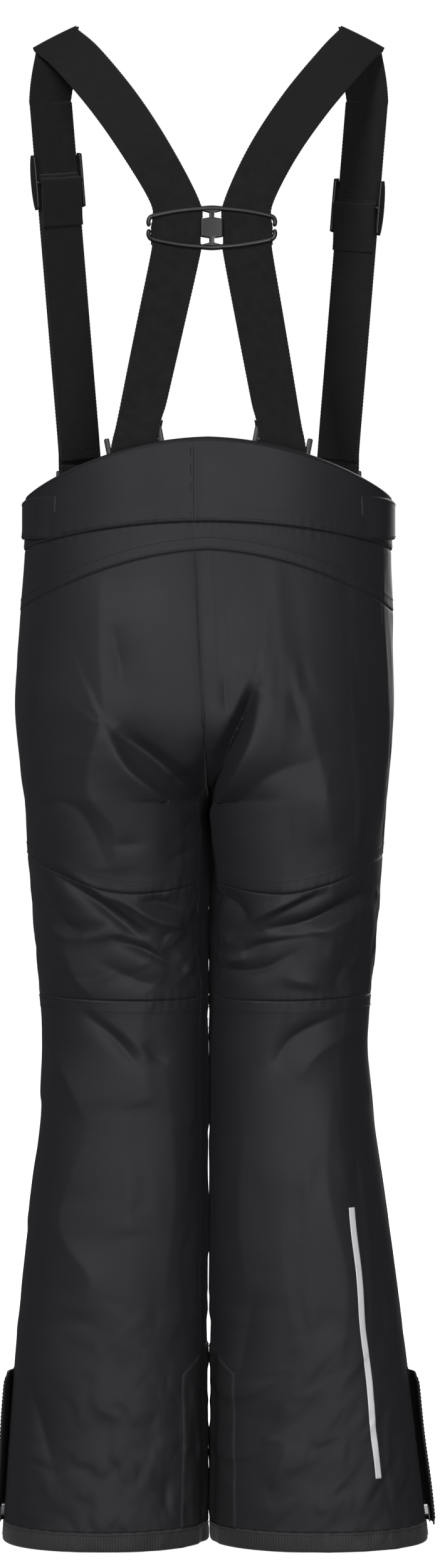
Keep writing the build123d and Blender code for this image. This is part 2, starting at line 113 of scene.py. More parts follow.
# Folds of the cloth: face, places (x, height) along the fold, how far it stands out, and how
# far it slopes to its left and to its right, seen along the places in a front elevation
FOLDS = (
    # seat and thighs, behind
    ("back", ((82, 673), (67, 642), (49, 624), (14, 597)), 8.5, 26, 5.5),
    ("back", ((76, 667), (50, 648), (26, 628), (6, 612)), -10, 9, 15),
    ("back", ((60, 668), (28, 645), (5, 628)), 2.2, 9, 14),
    ("back", ((-37, 700), (-27, 673), (-13, 647), (2, 618)), -15, 6.5, 6.5),
    ("back", ((-40, 702), (-36, 668), (-25, 640), (-12, 612), (-4, 585), (-2, 560)), 7, 6, 24),
    ("back", ((-34, 712), (-22, 685), (-8, 655)), 3, 14, 6),
    ("back", ((-13, 712), (-14, 680)), -2, 5, 7),
    ("back", ((77, 752), (68, 700)), -2.2, 6, 9),
    ("back", ((87, 790), (86, 735), (84, 680), (95, 635), (94, 612), (76, 588), (75, 554)),
     3.2, 22, 20),
    ("back", ((-60, 740), (-76, 690), (-88, 645), (-95, 609), (-98, 584), (-108, 556)),
     3.2, 22, 24),
    ("back", ((-14, 596), (-48, 630), (-86, 644)), -3.2, 20, 12),
    ("back", ((-67, 700), (-76, 668)), -1.8, 8, 6),
    ("back", ((-98, 640), (-90, 600), (-92, 575)), 1.6, 10, 12),
    ("back", ((148, 600), (122, 610), (100, 599), (80, 558)), -3.0, 12, 18),
    ("back", ((76, 575), (54, 576)), -1.4, 4, 7),
    ("back", ((33, 562), (14, 571)), -1.4, 5, 5),
    ("back", ((135, 720), (140, 660), (150, 610)), 1.6, 14, 14),
    ("back", ((-140, 745), (-146, 660), (-136, 590)), 1.6, 14, 14),
    ("back", ((52, 780), (48, 700)), 1.4, 26, 26),
    # behind the left knee
    ("back", ((127, 553), (96, 532), (75, 516), (50, 497)), -6.0, 5, 10),
    ("back", ((120, 558), (92, 540), (70, 521), (46, 505)), 3.4, 12, 5),
    ("back", ((96, 535), (72, 519), (56, 507)), -3.4, 4, 6),
    ("back", ((92, 536), (70, 530), (44, 515), (25, 509), (28, 497)), 3.6, 6, 6),
    ("back", ((56, 528), (38, 529), (20, 521)), -3.4, 6, 5),
    ("back", ((74, 497), (47, 488), (18, 470)), -5.4, 5, 9),
    ("back", ((72, 503), (50, 497), (32, 480), (14, 462)), 3.0, 8, 5),
    ("back", ((30, 496), (17, 474), (7, 452)), 2.6, 6, 7),
    ("back", ((118, 492), (107, 468), (94, 452)), 2.6, 10, 12),
    ("back", ((140, 540), (118, 512), (100, 505)), -3.0, 10, 8),
    ("back", ((88, 480), (60, 466), (40, 460)), -1.8, 6, 8),
    # behind the right knee
    ("back", ((-1, 537), (-18, 529), (-33, 515)), -5.0, 8, 5),
    ("back", ((-31, 513), (-56, 525), (-84, 537)), 3.6, 5, 6),
    ("back", ((-46, 507), (-78, 512), (-108, 525), (-135, 541)), -7.0, 9, 5),
    ("back", ((-40, 498), (-80, 503), (-112, 515), (-134, 530)), 3.4, 12, 7),
    ("back", ((-50, 516), (-69, 526), (-95, 537)), -3.2, 6, 4),
    ("back", ((-26, 488), (-45, 495), (-86, 502)), -4.2, 8, 5),
    ("back", ((-2, 481), (-20, 473), (-45, 475), (-72, 489)), -4.2, 6, 7),
    ("back", ((-3, 486), (-16, 481), (-30, 483)), 3.6, 5, 5),
    ("back", ((-8, 505), (-16, 497), (-10, 490)), 2.4, 5, 5),
    ("back", ((-112, 480), (-104, 462), (-110, 452)), -2.2, 9, 9),
    ("back", ((-60, 468), (-90, 462)), 1.6, 8, 8),
    # below the knees, behind
    ("back", ((101, 438), (76, 418), (57, 396)), -3.6, 6, 10),
    ("back", ((96, 443), (68, 421), (46, 400)), 1.8, 9, 9),
    ("back", ((53, 414), (34, 396)), -1.8, 6, 8),
    ("back", ((136, 424), (118, 390), (100, 352)), 2.2, 9, 12),
    ("back", ((-110, 438), (-70, 420), (-51, 395)), -3.4, 6, 10),
    ("back", ((-124, 427), (-90, 407), (-72, 385)), 2.0, 9, 9),
    ("back", ((97, 345), (120, 267), (96, 222), (108, 190)), 2.8, 22, 20),
    ("back", ((-100, 380), (-96, 300), (-112, 220), (-108, 150)), 2.4, 24, 22),
    ("back", ((34, 390), (28, 300), (36, 210)), 1.6, 14, 16),
    ("back", ((-30, 350), (-26, 270), (-34, 200)), 1.6, 14, 16),
    ("back", ((149, 138), (124, 58)), -2.6, 9, 14),
    ("back", ((33, 58), (33, 24)), -1.8, 7, 7),
    ("back", ((-38, 214), (-22, 132)), -2.2, 8, 14),
    ("back", ((-58, 120), (-42, 92), (-22, 68)), -2.0, 10, 8),
    ("back", ((-64, 92), (-54, 50)), 1.8, 10, 10),
    ("back", ((70, 330), (62, 240), (72, 150)), 1.2, 20, 20),
    ("back", ((-70, 330), (-60, 250), (-72, 160)), 1.2, 20, 20),
    # front
    ("front", ((70, 690), (45, 655), (12, 625)), -5, 12, 8),
    ("front", ((78, 700), (58, 655), (24, 610)), 3.5, 22, 9),
    ("front", ((-62, 694), (-40, 656), (-10, 626)), -5, 8, 12),
    ("front", ((-72, 702), (-55, 655), (-22, 612)), 3.5, 9, 22),
    ("front", ((22, 690), (18, 650), (6, 632)), -2.4, 7, 7),
    ("front", ((88, 640), (80, 590), (84, 540)), 2.6, 24, 24),
    ("front", ((-84, 650), (-78, 590), (-82, 545)), 2.6, 24, 24),
    ("front", ((120, 548), (84, 530), (50, 536)), -3, 8, 10),
    ("front", ((-118, 545), (-88, 526), (-52, 530)), -3, 10, 8),
    ("front", ((30, 470), (70, 455), (112, 462)), -3, 9, 9),
    ("front", ((-28, 474), (-66, 458), (-110, 466)), -3, 9, 9),
    ("front", ((100, 420), (76, 350), (84, 260)), 2.4, 22, 22),
    ("front", ((-98, 415), (-74, 340), (-86, 250)), 2.4, 22, 22),
    ("front", ((40, 400), (34, 320), (44, 230)), -1.8, 14, 14),
    ("front", ((-40, 405), (-34, 330), (-44, 240)), -1.8, 14, 14),
    ("front", ((120, 150), (100, 60)), -2.2, 12, 12),
    ("front", ((-122, 148), (-104, 64)), -2.2, 12, 12),
)


# Sizes and colours ----------------------------------------------------------------------------
def length(name, description, default, least):
    return bpy.props.FloatProperty(
        name=name, description=description, default=default, min=least, unit="LENGTH")


class TrouserSizes(bpy.types.PropertyGroup):
    cloth: length("Padded cloth", "Thickness of the quilted outer cloth", 0.002, 0.0005)
    lining: length("Lining cloth", "Thickness of the lining and the gaiters", 0.0012, 0.0003)
    fold_depth: bpy.props.FloatProperty(
        name="Fold depth", description="How deep the folds of the cloth are, 1 as worn",
        default=1.35, min=0, max=1.5, subtype="FACTOR")
    cell: length("Cloth cell", "Spacing of the mesh on the outer cloth", 0.0018, 0.001)
    stitch: length("Stitch length", "Length of one stitch", 0.0026, 0.001)
    thread: length("Thread", "Width of the sewing thread", 0.0005, 0.0002)
    strap_width: length("Brace width", "Width of the elastic braces", 0.040, 0.02)
    strap_cloth: length("Brace thickness", "Thickness of the elastic braces", 0.0016, 0.0005)
    camera_distance: length("Camera distance", "From the trousers to the camera", 3.0, 0.5)
    view_height: length("View height", "Height of what the camera sees there", 1.3, 0.1)


def colour_property(name, description, default):
    return bpy.props.FloatVectorProperty(
        name=name, description=description, default=default, min=0, max=1, subtype="COLOR")


class TrouserColours(bpy.types.PropertyGroup):
    shell: colour_property("Shell", "Outer cloth", (0.0180, 0.0180, 0.0222))
    scuff: colour_property("Ankle patch", "Hard-wearing cloth inside the ankle",
                           (0.015, 0.0152, 0.017))
    lining: colour_property("Lining", "Lining and snow gaiters", (0.022, 0.022, 0.024))
    binding: colour_property("Hem binding", "Coarse woven tape round the hems",
                             (0.022, 0.022, 0.023))
    elastic: colour_property("Elastic", "Braces", (0.0050, 0.0050, 0.0051))
    plastic: colour_property("Moulded plastic", "Keeper, adjusters and pulls",
                             (0.012, 0.012, 0.0125))
    # the hooks' grey is lighter than the keeper's plastic partly by a painted reflection of grazing
    # light
    hook: colour_property("Hook plastic", "Hooks of the braces", (0.055, 0.055, 0.057))
    thread: colour_property("Thread", "Sewing thread", (0.0115, 0.0115, 0.013))
    metal: colour_property("Dark metal", "Zip sliders and press studs", (0.12, 0.12, 0.125))
    reflective: colour_property("Reflective film", "Strip on the lower leg",
                                (0.80, 0.80, 0.81))
    floor: colour_property("Floor", "Floor of the studio", (0.86, 0.86, 0.86))


def sizes():
    return bpy.context.scene.trouser_sizes


def colours():
    return bpy.context.scene.trouser_colours


# The body of the trousers -----------------------------------------------------------------------
def signed_power(value, exponent):
    return np.sign(value) * np.abs(value) ** exponent


def ease(value, low, high):
    """0 below low, 1 above high, and a smooth step between."""
    t = np.clip((value - low) / (high - low), 0, 1)
    return t * t * (3 - 2 * t)


def column(sections, height, place):
    """One measure of the sections at the heights, its corners eased over 12 mm each way."""
    heights = sorted(sections)
    values = [sections[h][place] for h in heights]
    return sum(np.interp(height + off, heights, values) for off in (-12, -6, 0, 6, 12)) / 5


def form(side, turn, height):
    """The smooth cloth of one half: turn 0 is the side seam, pi the middle behind or the
    inside leg, and -pi the middle in front. A leg is a superellipse. The trunk takes the
    leg's share of the width, and its depth there is that of a larger superellipse. Above
    the crotch the shape changes from the leg's to the trunk's by 1 - (1 - rise)^3. The
    middle seam behind slants, so the cloth beside it is drawn towards the wearer's left."""
    turn, height = np.broadcast_arrays(turn, height)
    cosine, sine = np.cos(turn), np.sin(turn)
    outer = column(LEGS, height, 0 if side > 0 else 1)
    depth, square = column(LEGS, height, 2), column(LEGS, height, 3)
    share = (1 + signed_power(cosine, 2 / square)) / 2
    gap = np.interp(height, list(GAPS), list(GAPS.values()))
    leg_x, leg_y = gap + (outer - gap) * share, depth * signed_power(sine, 2 / square)
    middle, half, front, back, trunk_square = (column(TRUNK, height, k) for k in range(5))
    trunk_x = (half + side * middle) * share
    off = np.clip(np.abs(trunk_x - side * middle) / half, 0, 1)
    rear = np.where(sine < 0, -1, 1)
    trunk_y = (1 - off**trunk_square) ** (1 / trunk_square) * np.where(sine < 0, -front, back)
    trunk_y = np.where(np.abs(trunk_y) < 1e-9, rear * 1e-9, trunk_y)
    rise = np.clip((height - CROTCH_CURVE[0]) / np.ptp(CROTCH_CURVE), 0, 1)
    trunk_share = 1 - (1 - rise) ** 3
    x = side * (leg_x + trunk_share * (trunk_x - leg_x))
    slant = 2 * ease(height, 616, 628) + 10 * np.clip((height - 628) / 212, 0, 1)
    x = x + slant * (sine >= 0) * np.exp(-(x / 45) ** 2)
    y = leg_y + trunk_share * (trunk_y - leg_y)
    return np.stack([x, y, height], -1)


def unit(vectors):
    return vectors / np.maximum(np.linalg.norm(vectors, axis=-1, keepdims=True), 1e-12)


def outward(side, turn, height):
    """Outward normals of the smooth cloth, from differences along it. Where two pieces meet
    in the middle plane or on the inside leg, both get the same one."""
    turn, height = np.broadcast_arrays(turn, height)
    ahead, behind = np.minimum(turn + 0.01, np.pi), np.maximum(turn - 0.01, -np.pi)
    across = form(side, ahead, height) - form(side, behind, height)
    up = form(side, turn, height + 0.8) - form(side, turn, height - 0.8)
    normal = unit(np.cross(across, up)) * side
    edge, leg = np.cos(turn) < -0.999999, height < CROTCH_CURVE[0]
    normal[..., 0] = np.where(edge & ~leg, 0, normal[..., 0])
    normal[..., 1] = np.where(edge & leg, 0, normal[..., 1])
    return unit(normal)


def side_reach(side, height):
    """Distance of the side seam from the middle plane."""
    return np.abs(form(side, 0.0, height)[..., 0])


def seam_height(seam, x, reach):
    """Height of a seam at a distance x from the middle plane: a parabola that ends at the
    side seam, where the seams of the front and the back meet."""
    curve = np.polyfit(SEAM_STATIONS, SEAMS[seam], 2)
    return np.polyval(curve, np.clip(np.abs(x) / reach, 0, 1) * SEAM_STATIONS[-1])


def seam_on(side, seam, turn):
    """Height of a seam at each turn, found by walking to where the cloth meets the curve."""
    height = np.full(np.shape(turn), float(SEAMS[seam][1]))
    for _ in range(6):
        x = form(side, turn, height)[..., 0]
        height = seam_height(seam, x, side_reach(side, height))
    return height


def smooth_line(places, count=28):
    """A smooth line through given places: Catmull-Rom cubics, evenly sampled."""
    points = np.array(places, float)
    ends = np.vstack([2 * points[0] - points[1], points, 2 * points[-1] - points[-2]])
    spans = np.linspace(0, len(points) - 1.0001, count)
    k = spans.astype(int)
    t = (spans - k)[:, None]
    a, b, c, d = ends[k], ends[k + 1], ends[k + 2], ends[k + 3]
    return 0.5 * (2 * b + (c - a) * t + (2 * a - 5 * b + 4 * c - d) * t**2
                  + (3 * b - a - 3 * c + d) * t**3)


def fold_relief(x, z, places, stand, left_slope, right_slope):
    """Height of one fold: exp(-|distance / slope|^1.15) either side of its line, which makes
    a crisp crest, fading as a half wave from end to end."""
    line = smooth_line(places)
    start, step = line[:-1], np.diff(line, axis=0)
    point = np.stack([x, z], -1)[..., None, :]
    along = np.clip(((point - start) * step).sum(-1) / (step**2).sum(-1), 0, 1)
    away = point - (start + along[..., None] * step)
    distance = np.linalg.norm(away, axis=-1)
    nearest = distance.argmin(-1)[..., None]
    pick = lambda values: np.take_along_axis(values, nearest, -1)[..., 0]
    turn = step[:, 0] * away[..., 1] - step[:, 1] * away[..., 0]
    share = (pick(along) + nearest[..., 0]) / len(step)
    slope = np.where(pick(turn) > 0, left_slope, right_slope)
    fade = np.sin(np.pi * (0.04 + 0.92 * share)) ** 0.7
    return stand * fade * np.exp(-np.abs(pick(distance) / slope) ** 1.15)


def ripple(x, z, seed, length, stretch):
    """Soft unevenness: five waves in different directions, each bent by the one before."""
    draw = np.random.default_rng(seed)
    total = np.zeros(np.shape(x))
    bend = 0.0
    for _ in range(5):
        angle, phase = draw.uniform(0, np.pi), draw.uniform(0, 2 * np.pi)
        pitch = length * draw.uniform(0.7, 1.5)
        wave = np.sin(2 * np.pi * (x * np.cos(angle) * stretch + z * np.sin(angle)) / pitch
                      + phase + bend)
        bend = 1.3 * wave
        total = total + wave
    return total / 5


def relief(side, turn, point):
    """How far the cloth stands off its smooth form: folds, softness, and dips at the seams."""
    x, y, z = np.moveaxis(point, -1, 0)
    sine = np.sin(turn)
    behind = ease(sine, -0.05, 0.3)
    ahead = ease(-sine, -0.05, 0.3)
    total = np.zeros(np.shape(x))
    for face, places, stand, left_slope, right_slope in FOLDS:
        if (np.mean([p[0] for p in places]) > 0) == (side > 0):
            weight = behind if face == "back" else ahead
            total = total + weight * fold_relief(x, z, places, stand, left_slope, right_slope)
    knee = ease(z, 448, 462) * (1 - ease(z, 528, 545))
    total = total + 0.9 * knee * ripple(x + 2 * y, z, 11 + side, 34, 0.45)
    total = total + 0.7 * ripple(x + 1.5 * y, z, 5 + side, 90, 1.6) * (1 - ease(z, 780, 815))
    low_leg = 1 - ease(z, 60, 240)
    total = total + 0.8 * low_leg * ripple(x + y, z, 21 + side, 60, 2.0)
    edge = np.abs(y) / 9
    inner = np.where(np.cos(turn) < 0, 1.0, 0.0) * (z < CROTCH + 4)
    total = total + inner * np.exp(-edge**2) * 0.25 * np.sin(z / 19.0 + side)
    hollow = ease(np.abs(y), 6, 26) * (1 - ease(np.abs(x), 3, 9.5)) * (1 - ease(z, 596, 618))
    total = total - inner * behind * hollow * (1.8 + 2.2 * ease(z, 440, 500))
    total = total * fold_room(turn, point) * sizes().fold_depth
    return total + seam_relief(side, turn, x, y, z)


def fold_room(turn, point):
    """1 where folds may run, 0 beside zips, tabs and the waistband, which hold the cloth."""
    x, y, z = np.moveaxis(point, -1, 0)
    outer = np.cos(turn) > 0
    ankle = (1 - ease(z, 150, 185)) * (1 - ease(np.abs(y), 20, 38)) * outer
    pocket = ease(z, 680, 700) * (1 - ease(np.abs(np.abs(x) - POCKET_X), 22, 36)) * (y < 0)
    fly = ease(z, 680, 700) * (1 - ease(np.abs(x), 18, 32)) * (y < 0)
    waist = ease(z, 806, 822)
    return np.clip(1 - ankle, 0, 1) * (1 - pocket) * (1 - fly) * (1 - 0.85 * waist)


# seam: whether behind, whether its allowance lies above (1) or below it (-1), the depth of
# its dip and the height of its puckers
LAPS = (
    ("waist_back", True, 1, 0.4, 0.25), ("yoke", True, 1, 0.16, 0.12),
    ("seat", True, 1, 0.25, 0.24), ("knee_back", True, -1, 0.25, 0.2),
    ("waist_front", False, 1, 0.5, 0.25), ("thigh_front", False, 1, 0.4, 0.25),
    ("knee_front", False, -1, 0.4, 0.22),
)


def seam_relief(side, turn, x, y, z):
    """Dips along the seams, and small puckers drawn up by the stitching beside them."""
    behind = np.sin(turn) >= 0
    reach = side_reach(side, z)
    total = np.zeros(np.shape(x))
    for seam, rear, lapped, dip, puckers in LAPS:
        away, here = z - seam_height(seam, x, reach), behind == rear
        near, drawn = (here * np.exp(-(away / width) ** 2) for width in (1.5, 7.0))
        lap = ease(away * lapped, 0, 1.4) - ease(away * lapped, 10, 12.5)
        total = total + 0.18 * here * np.abs(lap)
        wave = np.sin(x / 1.25 + 2.1 * np.sin(x / 9.0) + y / 2.3)
        total = total - dip * near + puckers * drawn * wave * (0.6 + 0.4 * np.sin(x / 17.0))
    middle = (np.cos(turn) < 0) * (z > CROTCH - 6) * (z < seam_height("waist_back", x, reach))
    slant = np.where(behind, 2 + (z - 628) / 21.2, 0)
    total = total - 0.3 * middle * np.exp(-((x - slant) / 1.5) ** 2)
    sides = np.cos(turn) > 0
    total = total - 0.5 * sides * np.exp(-(y / 1.6) ** 2) * ease(z, 150, 168)
    inside = (np.cos(turn) < 0) * (z < CROTCH - 6)
    return total - 0.8 * inside * np.exp(-(y / 2.0) ** 2)


def cloth_at(side, turn, height, lift=0.0):
    """Points of the folded cloth, lifted off it along its normals, and those normals."""
    turn, height = np.broadcast_arrays(turn, height)
    point = form(side, turn, height)
    normal = outward(side, turn, height)
    stand = relief(side, turn, point) + lift
    return point + normal * stand[..., None], normal


def turn_at_depth(side, depth, height):
    """Turn, from the side seam, at which the cloth is that deep behind it."""
    turns = np.linspace(0, np.pi / 2, 2001)
    return float(np.interp(depth, form(side, turns, height)[:, 1], turns))


def turn_at_width(side, width, height, rear):
    """Turn at which the cloth is that far from the middle plane, behind or in front."""
    turns = np.linspace(np.pi, 0, 4001) * (1 if rear else -1)
    return float(np.interp(width, np.abs(form(side, turns, height)[:, 0]), turns))


def run_along(points):
    """Distance run along a line at each of its points."""
    steps = np.linalg.norm(np.diff(points, axis=0), axis=1)
    return np.concatenate([[0], np.cumsum(steps)])


def values_at(at, run, values):
    """Rows of values, in straight lines, at distances along a run."""
    return np.stack([np.interp(at, run, values[:, k]) for k in range(3)], -1)


def even_turns(side, first, last, height, cell):
    """Turns that divide the cloth's outline at a height into equal lengths."""
    fine = np.linspace(first, last, 3000)
    run = run_along(form(side, fine, height))
    count = max(8, int(round(run[-1] / cell)))
    return np.interp(np.linspace(0, run[-1], count + 1), run, fine)


def snap(values, targets):
    """Moves the nearest inner values onto the targets, so that a slot's edge has a grid line."""
    values = values.copy()
    for target in targets:
        if values.min() < target < values.max():
            values[1 + np.abs(values[1:-1] - target).argmin()] = target
    return values


# Meshes -----------------------------------------------------------------------------------------
def mesh_object(name, points, corners, finish, uv=None):
    """A smooth-shaded mesh from points in millimetres and faces of four corners."""
    mesh = bpy.data.meshes.new(name)
    mesh.vertices.add(len(points))
    mesh.vertices.foreach_set("co", (points * MM).astype(np.float32).ravel())
    mesh.loops.add(corners.size)
    mesh.loops.foreach_set("vertex_index", corners.astype(np.int32).ravel())
    mesh.polygons.add(len(corners))
    mesh.polygons.foreach_set("loop_start", np.arange(0, corners.size, 4, dtype=np.int32))
    mesh.update(calc_edges=True)
    if uv is not None:
        layer = mesh.uv_layers.new(name="cloth")
        layer.data.foreach_set("uv", (uv * MM).astype(np.float32)[corners.ravel()].ravel())
    mesh.polygons.foreach_set("use_smooth", np.ones(len(corners), bool))
    mesh.materials.append(finish_of(finish))
    return place_object(name, mesh)


def place_object(name, data):
    made = bpy.data.objects.new(name, data)
    bpy.context.scene.collection.objects.link(made)
    return made


def round_turns(count):
    """Even turns round a full circle."""
    return np.arange(count) * 2 * np.pi / count


def grid_corners(rows, columns, wrap=False, flip=False):
    """Faces of a grid of points, each as four point numbers."""
    index = np.arange(rows * columns).reshape(rows, columns)
    if wrap:
        index = np.concatenate([index, index[:, :1]], 1)
    corners = np.stack([index[:-1, :-1], index[:-1, 1:], index[1:, 1:], index[1:, :-1]], -1)
    return corners[..., ::-1] if flip else corners


def tube(name, rings, finish, flip=True, ends=False, uv=None):
    """Rings of points as a tube; its ends may be closed towards their middles."""
    if ends:
        first, last = (ring.mean(1, keepdims=True).repeat(rings.shape[1], 1)
                       for ring in (rings[:1], rings[-1:]))
        rings = np.concatenate([first, rings, last])
    corners = grid_corners(*rings.shape[:2], wrap=True, flip=flip).reshape(-1, 4)
    return mesh_object(name, rings.reshape(-1, 3), corners, finish, uv)


def lengths_uv(points):
    """UV in millimetres of cloth: distance along the rows and up the columns."""
    across = np.linalg.norm(np.diff(points, axis=1), axis=-1)
    up = np.linalg.norm(np.diff(points, axis=0), axis=-1)
    u = np.pad(np.cumsum(across, 1), ((0, 0), (1, 0)))
    v = np.pad(np.cumsum(up, 0), ((1, 0), (0, 0)))
    return np.stack([u - u.mean(1, keepdims=True), v], -1).reshape(-1, 2)


def sheet_object(name, points, finish, flip=False, keep=None):
    """A grid of points as a sheet of cloth with a UV in its own lengths."""
    rows, columns = points.shape[:2]
    corners = grid_corners(rows, columns, flip=flip)
    corners = corners.reshape(-1, 4) if keep is None else corners[keep]
    return mesh_object(name, points.reshape(-1, 3), corners, finish, lengths_uv(points))


def weld(made, distance=0.01):
    """Merges the points of seams and poles."""
    work = bmesh.new()
    work.from_mesh(made.data)
    bmesh.ops.remove_doubles(work, verts=work.verts, dist=distance * MM)
    bmesh.ops.dissolve_degenerate(work, edges=work.edges, dist=distance * MM * 0.5)
    loose = [v for v in work.verts if not v.link_faces]
    bmesh.ops.delete(work, geom=loose, context="VERTS")
    work.to_mesh(made.data)
    work.free()
    return made


def cut(made, points, thickness, slot, *nodes, body="trousers", held="hung"):
    """A sheet as a wall of cloth on its body; the size it was cut to is worked out from points and
    not kept.
    """
    thicken(made, thickness)
    settle(made, body, slot, *nodes)
    declare_cut(points)


def thicken(made, thickness, offset=-1.0):
    """A wall of that thickness, in metres; offset -1 keeps the outer face where it is."""
    wall = made.modifiers.new("wall", "SOLIDIFY")
    wall.thickness = thickness
    wall.offset = offset
    wall.use_even_offset = False
    return made


def join(name, pieces):
    """Several meshes as one piece."""
    whole = bmesh.new()
    for piece in pieces:
        whole.from_mesh(piece.data)
    mesh = bpy.data.meshes.new(name)
    for material in pieces[0].data.materials:
        mesh.materials.append(material)
    whole.to_mesh(mesh)
    whole.free()
    for piece in pieces:
        old = piece.data
        bpy.data.objects.remove(piece)
        bpy.data.meshes.remove(old)
    return place_object(name, mesh)


def settle(made, body, slot, *nodes):
    """The piece rides on a body and stands for its CAD nodes, which are hidden."""
    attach(made, body)
    if nodes:
        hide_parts(*nodes)
    return made


def sheet_normals(points):
    """Normals of a grid of points."""
    return unit(np.cross(np.gradient(points, axis=1), np.gradient(points, axis=0)))


def declare_cut(points):
    """Works out a panel's own width, length and area as it was cut, before it was sewn: the widest
    row, the longest column, and the area of the smooth form. The results are not kept."""
    across = np.linalg.norm(np.diff(points, axis=1), axis=-1).sum(1).max() * MM
    up = np.linalg.norm(np.diff(points, axis=0), axis=-1).sum(0).max() * MM
    first = np.linalg.norm(np.cross(points[1:, :-1] - points[:-1, :-1],
                                    points[:-1, 1:] - points[:-1, :-1]), axis=-1)
    area = float(first.sum()) * MM**2
    area = min(max(area, 0.31 * across * up), across * up)


def swept(path, profile, across):
    """A profile (across, out) carried along a path; across is the same direction, or one
    direction for each place, and out is square to it and to the path."""
    path = np.asarray(path, float)
    heading = unit(np.gradient(path, axis=0))
    across = np.broadcast_to(np.asarray(across, float), path.shape)
    across = unit(across - heading * (across * heading).sum(-1, keepdims=True))
    out = np.cross(across, heading)
    profile = np.asarray(profile, float)
    if profile.ndim == 2:
        profile = np.broadcast_to(profile, (len(path), *profile.shape))
    return (path[:, None] + profile[..., :1] * across[:, None]
            + profile[..., 1:] * out[:, None])


def oval_profile(width, depth, count=16, squareness=3.0):
    """A rounded-rectangle profile: a superellipse."""
    turn = round_turns(count)
    return np.stack([width / 2 * signed_power(np.cos(turn), 2 / squareness),
                     depth / 2 * signed_power(np.sin(turn), 2 / squareness)], -1)


def bar(name, path, width, depth, across, finish, squareness=3.0):
    """A moulded bar with rounded edges and rounded ends. Its last stations shrink as
    sqrt(1 - (1 - distance / radius)^2)."""
    path = np.asarray(path, float)
    profile = oval_profile(width, depth, squareness=squareness)
    run = run_along(path)
    radius = min(depth, width, run[-1]) * 0.45
    ends = radius * (1 - np.cos(np.linspace(0, np.pi / 2, 5)))
    inner = run[(run > radius * 1.05) & (run < run[-1] - radius * 1.05)]
    places = np.concatenate([ends, inner, run[-1] - ends[::-1]])
    edge = np.minimum(places, run[-1] - places)
    size = np.sqrt(np.clip(1 - (1 - np.clip(edge / radius, 0, 1)) ** 2, 0.0004, 1))
    short = 1 - radius * (1 - size) / (np.array([width, depth])[:, None] / 2)
    grown = profile[None] * np.maximum(short.T[:, None], 0.01)
    rings = swept(values_at(places, run, path), grown, across)
    return weld(tube(name, rings, finish, ends=True), 0.002)


def repeated(name, unit_points, unit_corners, places, along, normal, finish):
    """Copies of a small shape at places: its x runs along and its z along the normal."""
    along = unit(along)
    normal = unit(normal - along * (normal * along).sum(-1, keepdims=True))
    side = np.cross(normal, along)
    points = (places[:, None] + unit_points[None, :, :1] * along[:, None]
              + unit_points[None, :, 1:2] * side[:, None]
              + unit_points[None, :, 2:] * normal[:, None])
    shift = np.arange(len(places))[:, None, None] * len(unit_points)
    corners = (unit_corners[None] + shift).reshape(-1, 4)
    return mesh_object(name, points.reshape(-1, 3), corners, finish)


def lozenge(length, width, height):
    """A stitch or a coil turn: three square rings and two end faces, thickest in the middle."""
    ring = np.array([(0, -1, 0), (0, 0, 1), (0, 1, 0), (0, 0, -0.6)]) * (1, width / 2, height)
    sizes_along = ((-0.5, 0.35), (0.0, 1.0), (0.5, 0.35))
    points = np.concatenate([ring * (1, s, s) + (x * length, 0, 0) for x, s in sizes_along])
    corners = grid_corners(3, 4, wrap=True).reshape(-1, 4)
    caps = np.array([(3, 2, 1, 0), (8, 9, 10, 11)])
    return points, np.concatenate([corners, caps])


def stitches(name, lines, body=None, slot="shell_cloth"):
    """Top-stitching: one small lozenge of thread for each stitch along each line of
    (points, normals)."""
    length, thread = sizes().stitch / MM, sizes().thread / MM
    shape, faces = lozenge(length, thread, thread * 0.8)
    rows = []
    for points, normal in lines:
        run = run_along(points)
        count = max(2, int(run[-1] / (length * STITCH_PITCH)))
        at = (np.arange(count) + 0.5) * run[-1] / count
        ahead, behind = values_at(at + 0.4, run, points), values_at(at - 0.4, run, points)
        rows.append((values_at(at, run, points), ahead - behind, values_at(at, run, normal)))
    places, along, normals = (np.concatenate(column) for column in zip(*rows))
    sewn = repeated(name, shape, faces, places, along, normals, THREAD)
    return settle(sewn, body, slot) if body else sewn


# Materials --------------------------------------------------------------------------------------
FLOAT, VECTOR = "NodeSocketFloat", "NodeSocketVector"
PI, FULL_TURN = 3.14159, 6.28318


class Nodes:
    """Short ways to make and wire the nodes of one tree."""

    def __init__(self, tree):
        self.tree = tree

    def feed(self, socket, value):
        """Links another socket in, or sets a value."""
        if isinstance(value, bpy.types.NodeSocket):
            self.tree.links.new(value, socket)
        else:
            socket.default_value = value

    def node(self, kind, inputs=(), **settings):
        """Outputs of a new shader node with these settings and (socket, value) inputs."""
        node = self.tree.nodes.new("ShaderNode" + kind)
        for name, value in settings.items():
            setattr(node, name, value)
        for socket, value in dict(inputs).items():
            self.feed(node.inputs[socket], value)
        return node.outputs

    def maths(self, operation, *values):
        """Output of a Math node fed by sockets or numbers."""
        return self.node("Math", enumerate(values), operation=operation)[0]


def weave_inside(nodes, given):
    """Over-and-under threads: the product of two sines across and along the cloth, with an
    optional diagonal step that turns plain weave into twill."""
    split = nodes.node("SeparateXYZ", {0: given["Vector"]})
    rate = nodes.maths("DIVIDE", FULL_TURN, given["Pitch"])
    u, v = (nodes.maths("MULTIPLY", split[axis], rate) for axis in "XY")
    slant = nodes.maths("MULTIPLY_ADD", v, given["Twill"], u)
    over = nodes.maths("MULTIPLY", nodes.maths("SINE", slant), nodes.maths("SINE", v))
    height = nodes.maths("MULTIPLY_ADD", over, 0.5, 0.5)
    return {"Height": height, "Thread": nodes.maths("SMOOTH_MAX", height, 0.15, 0.2)}


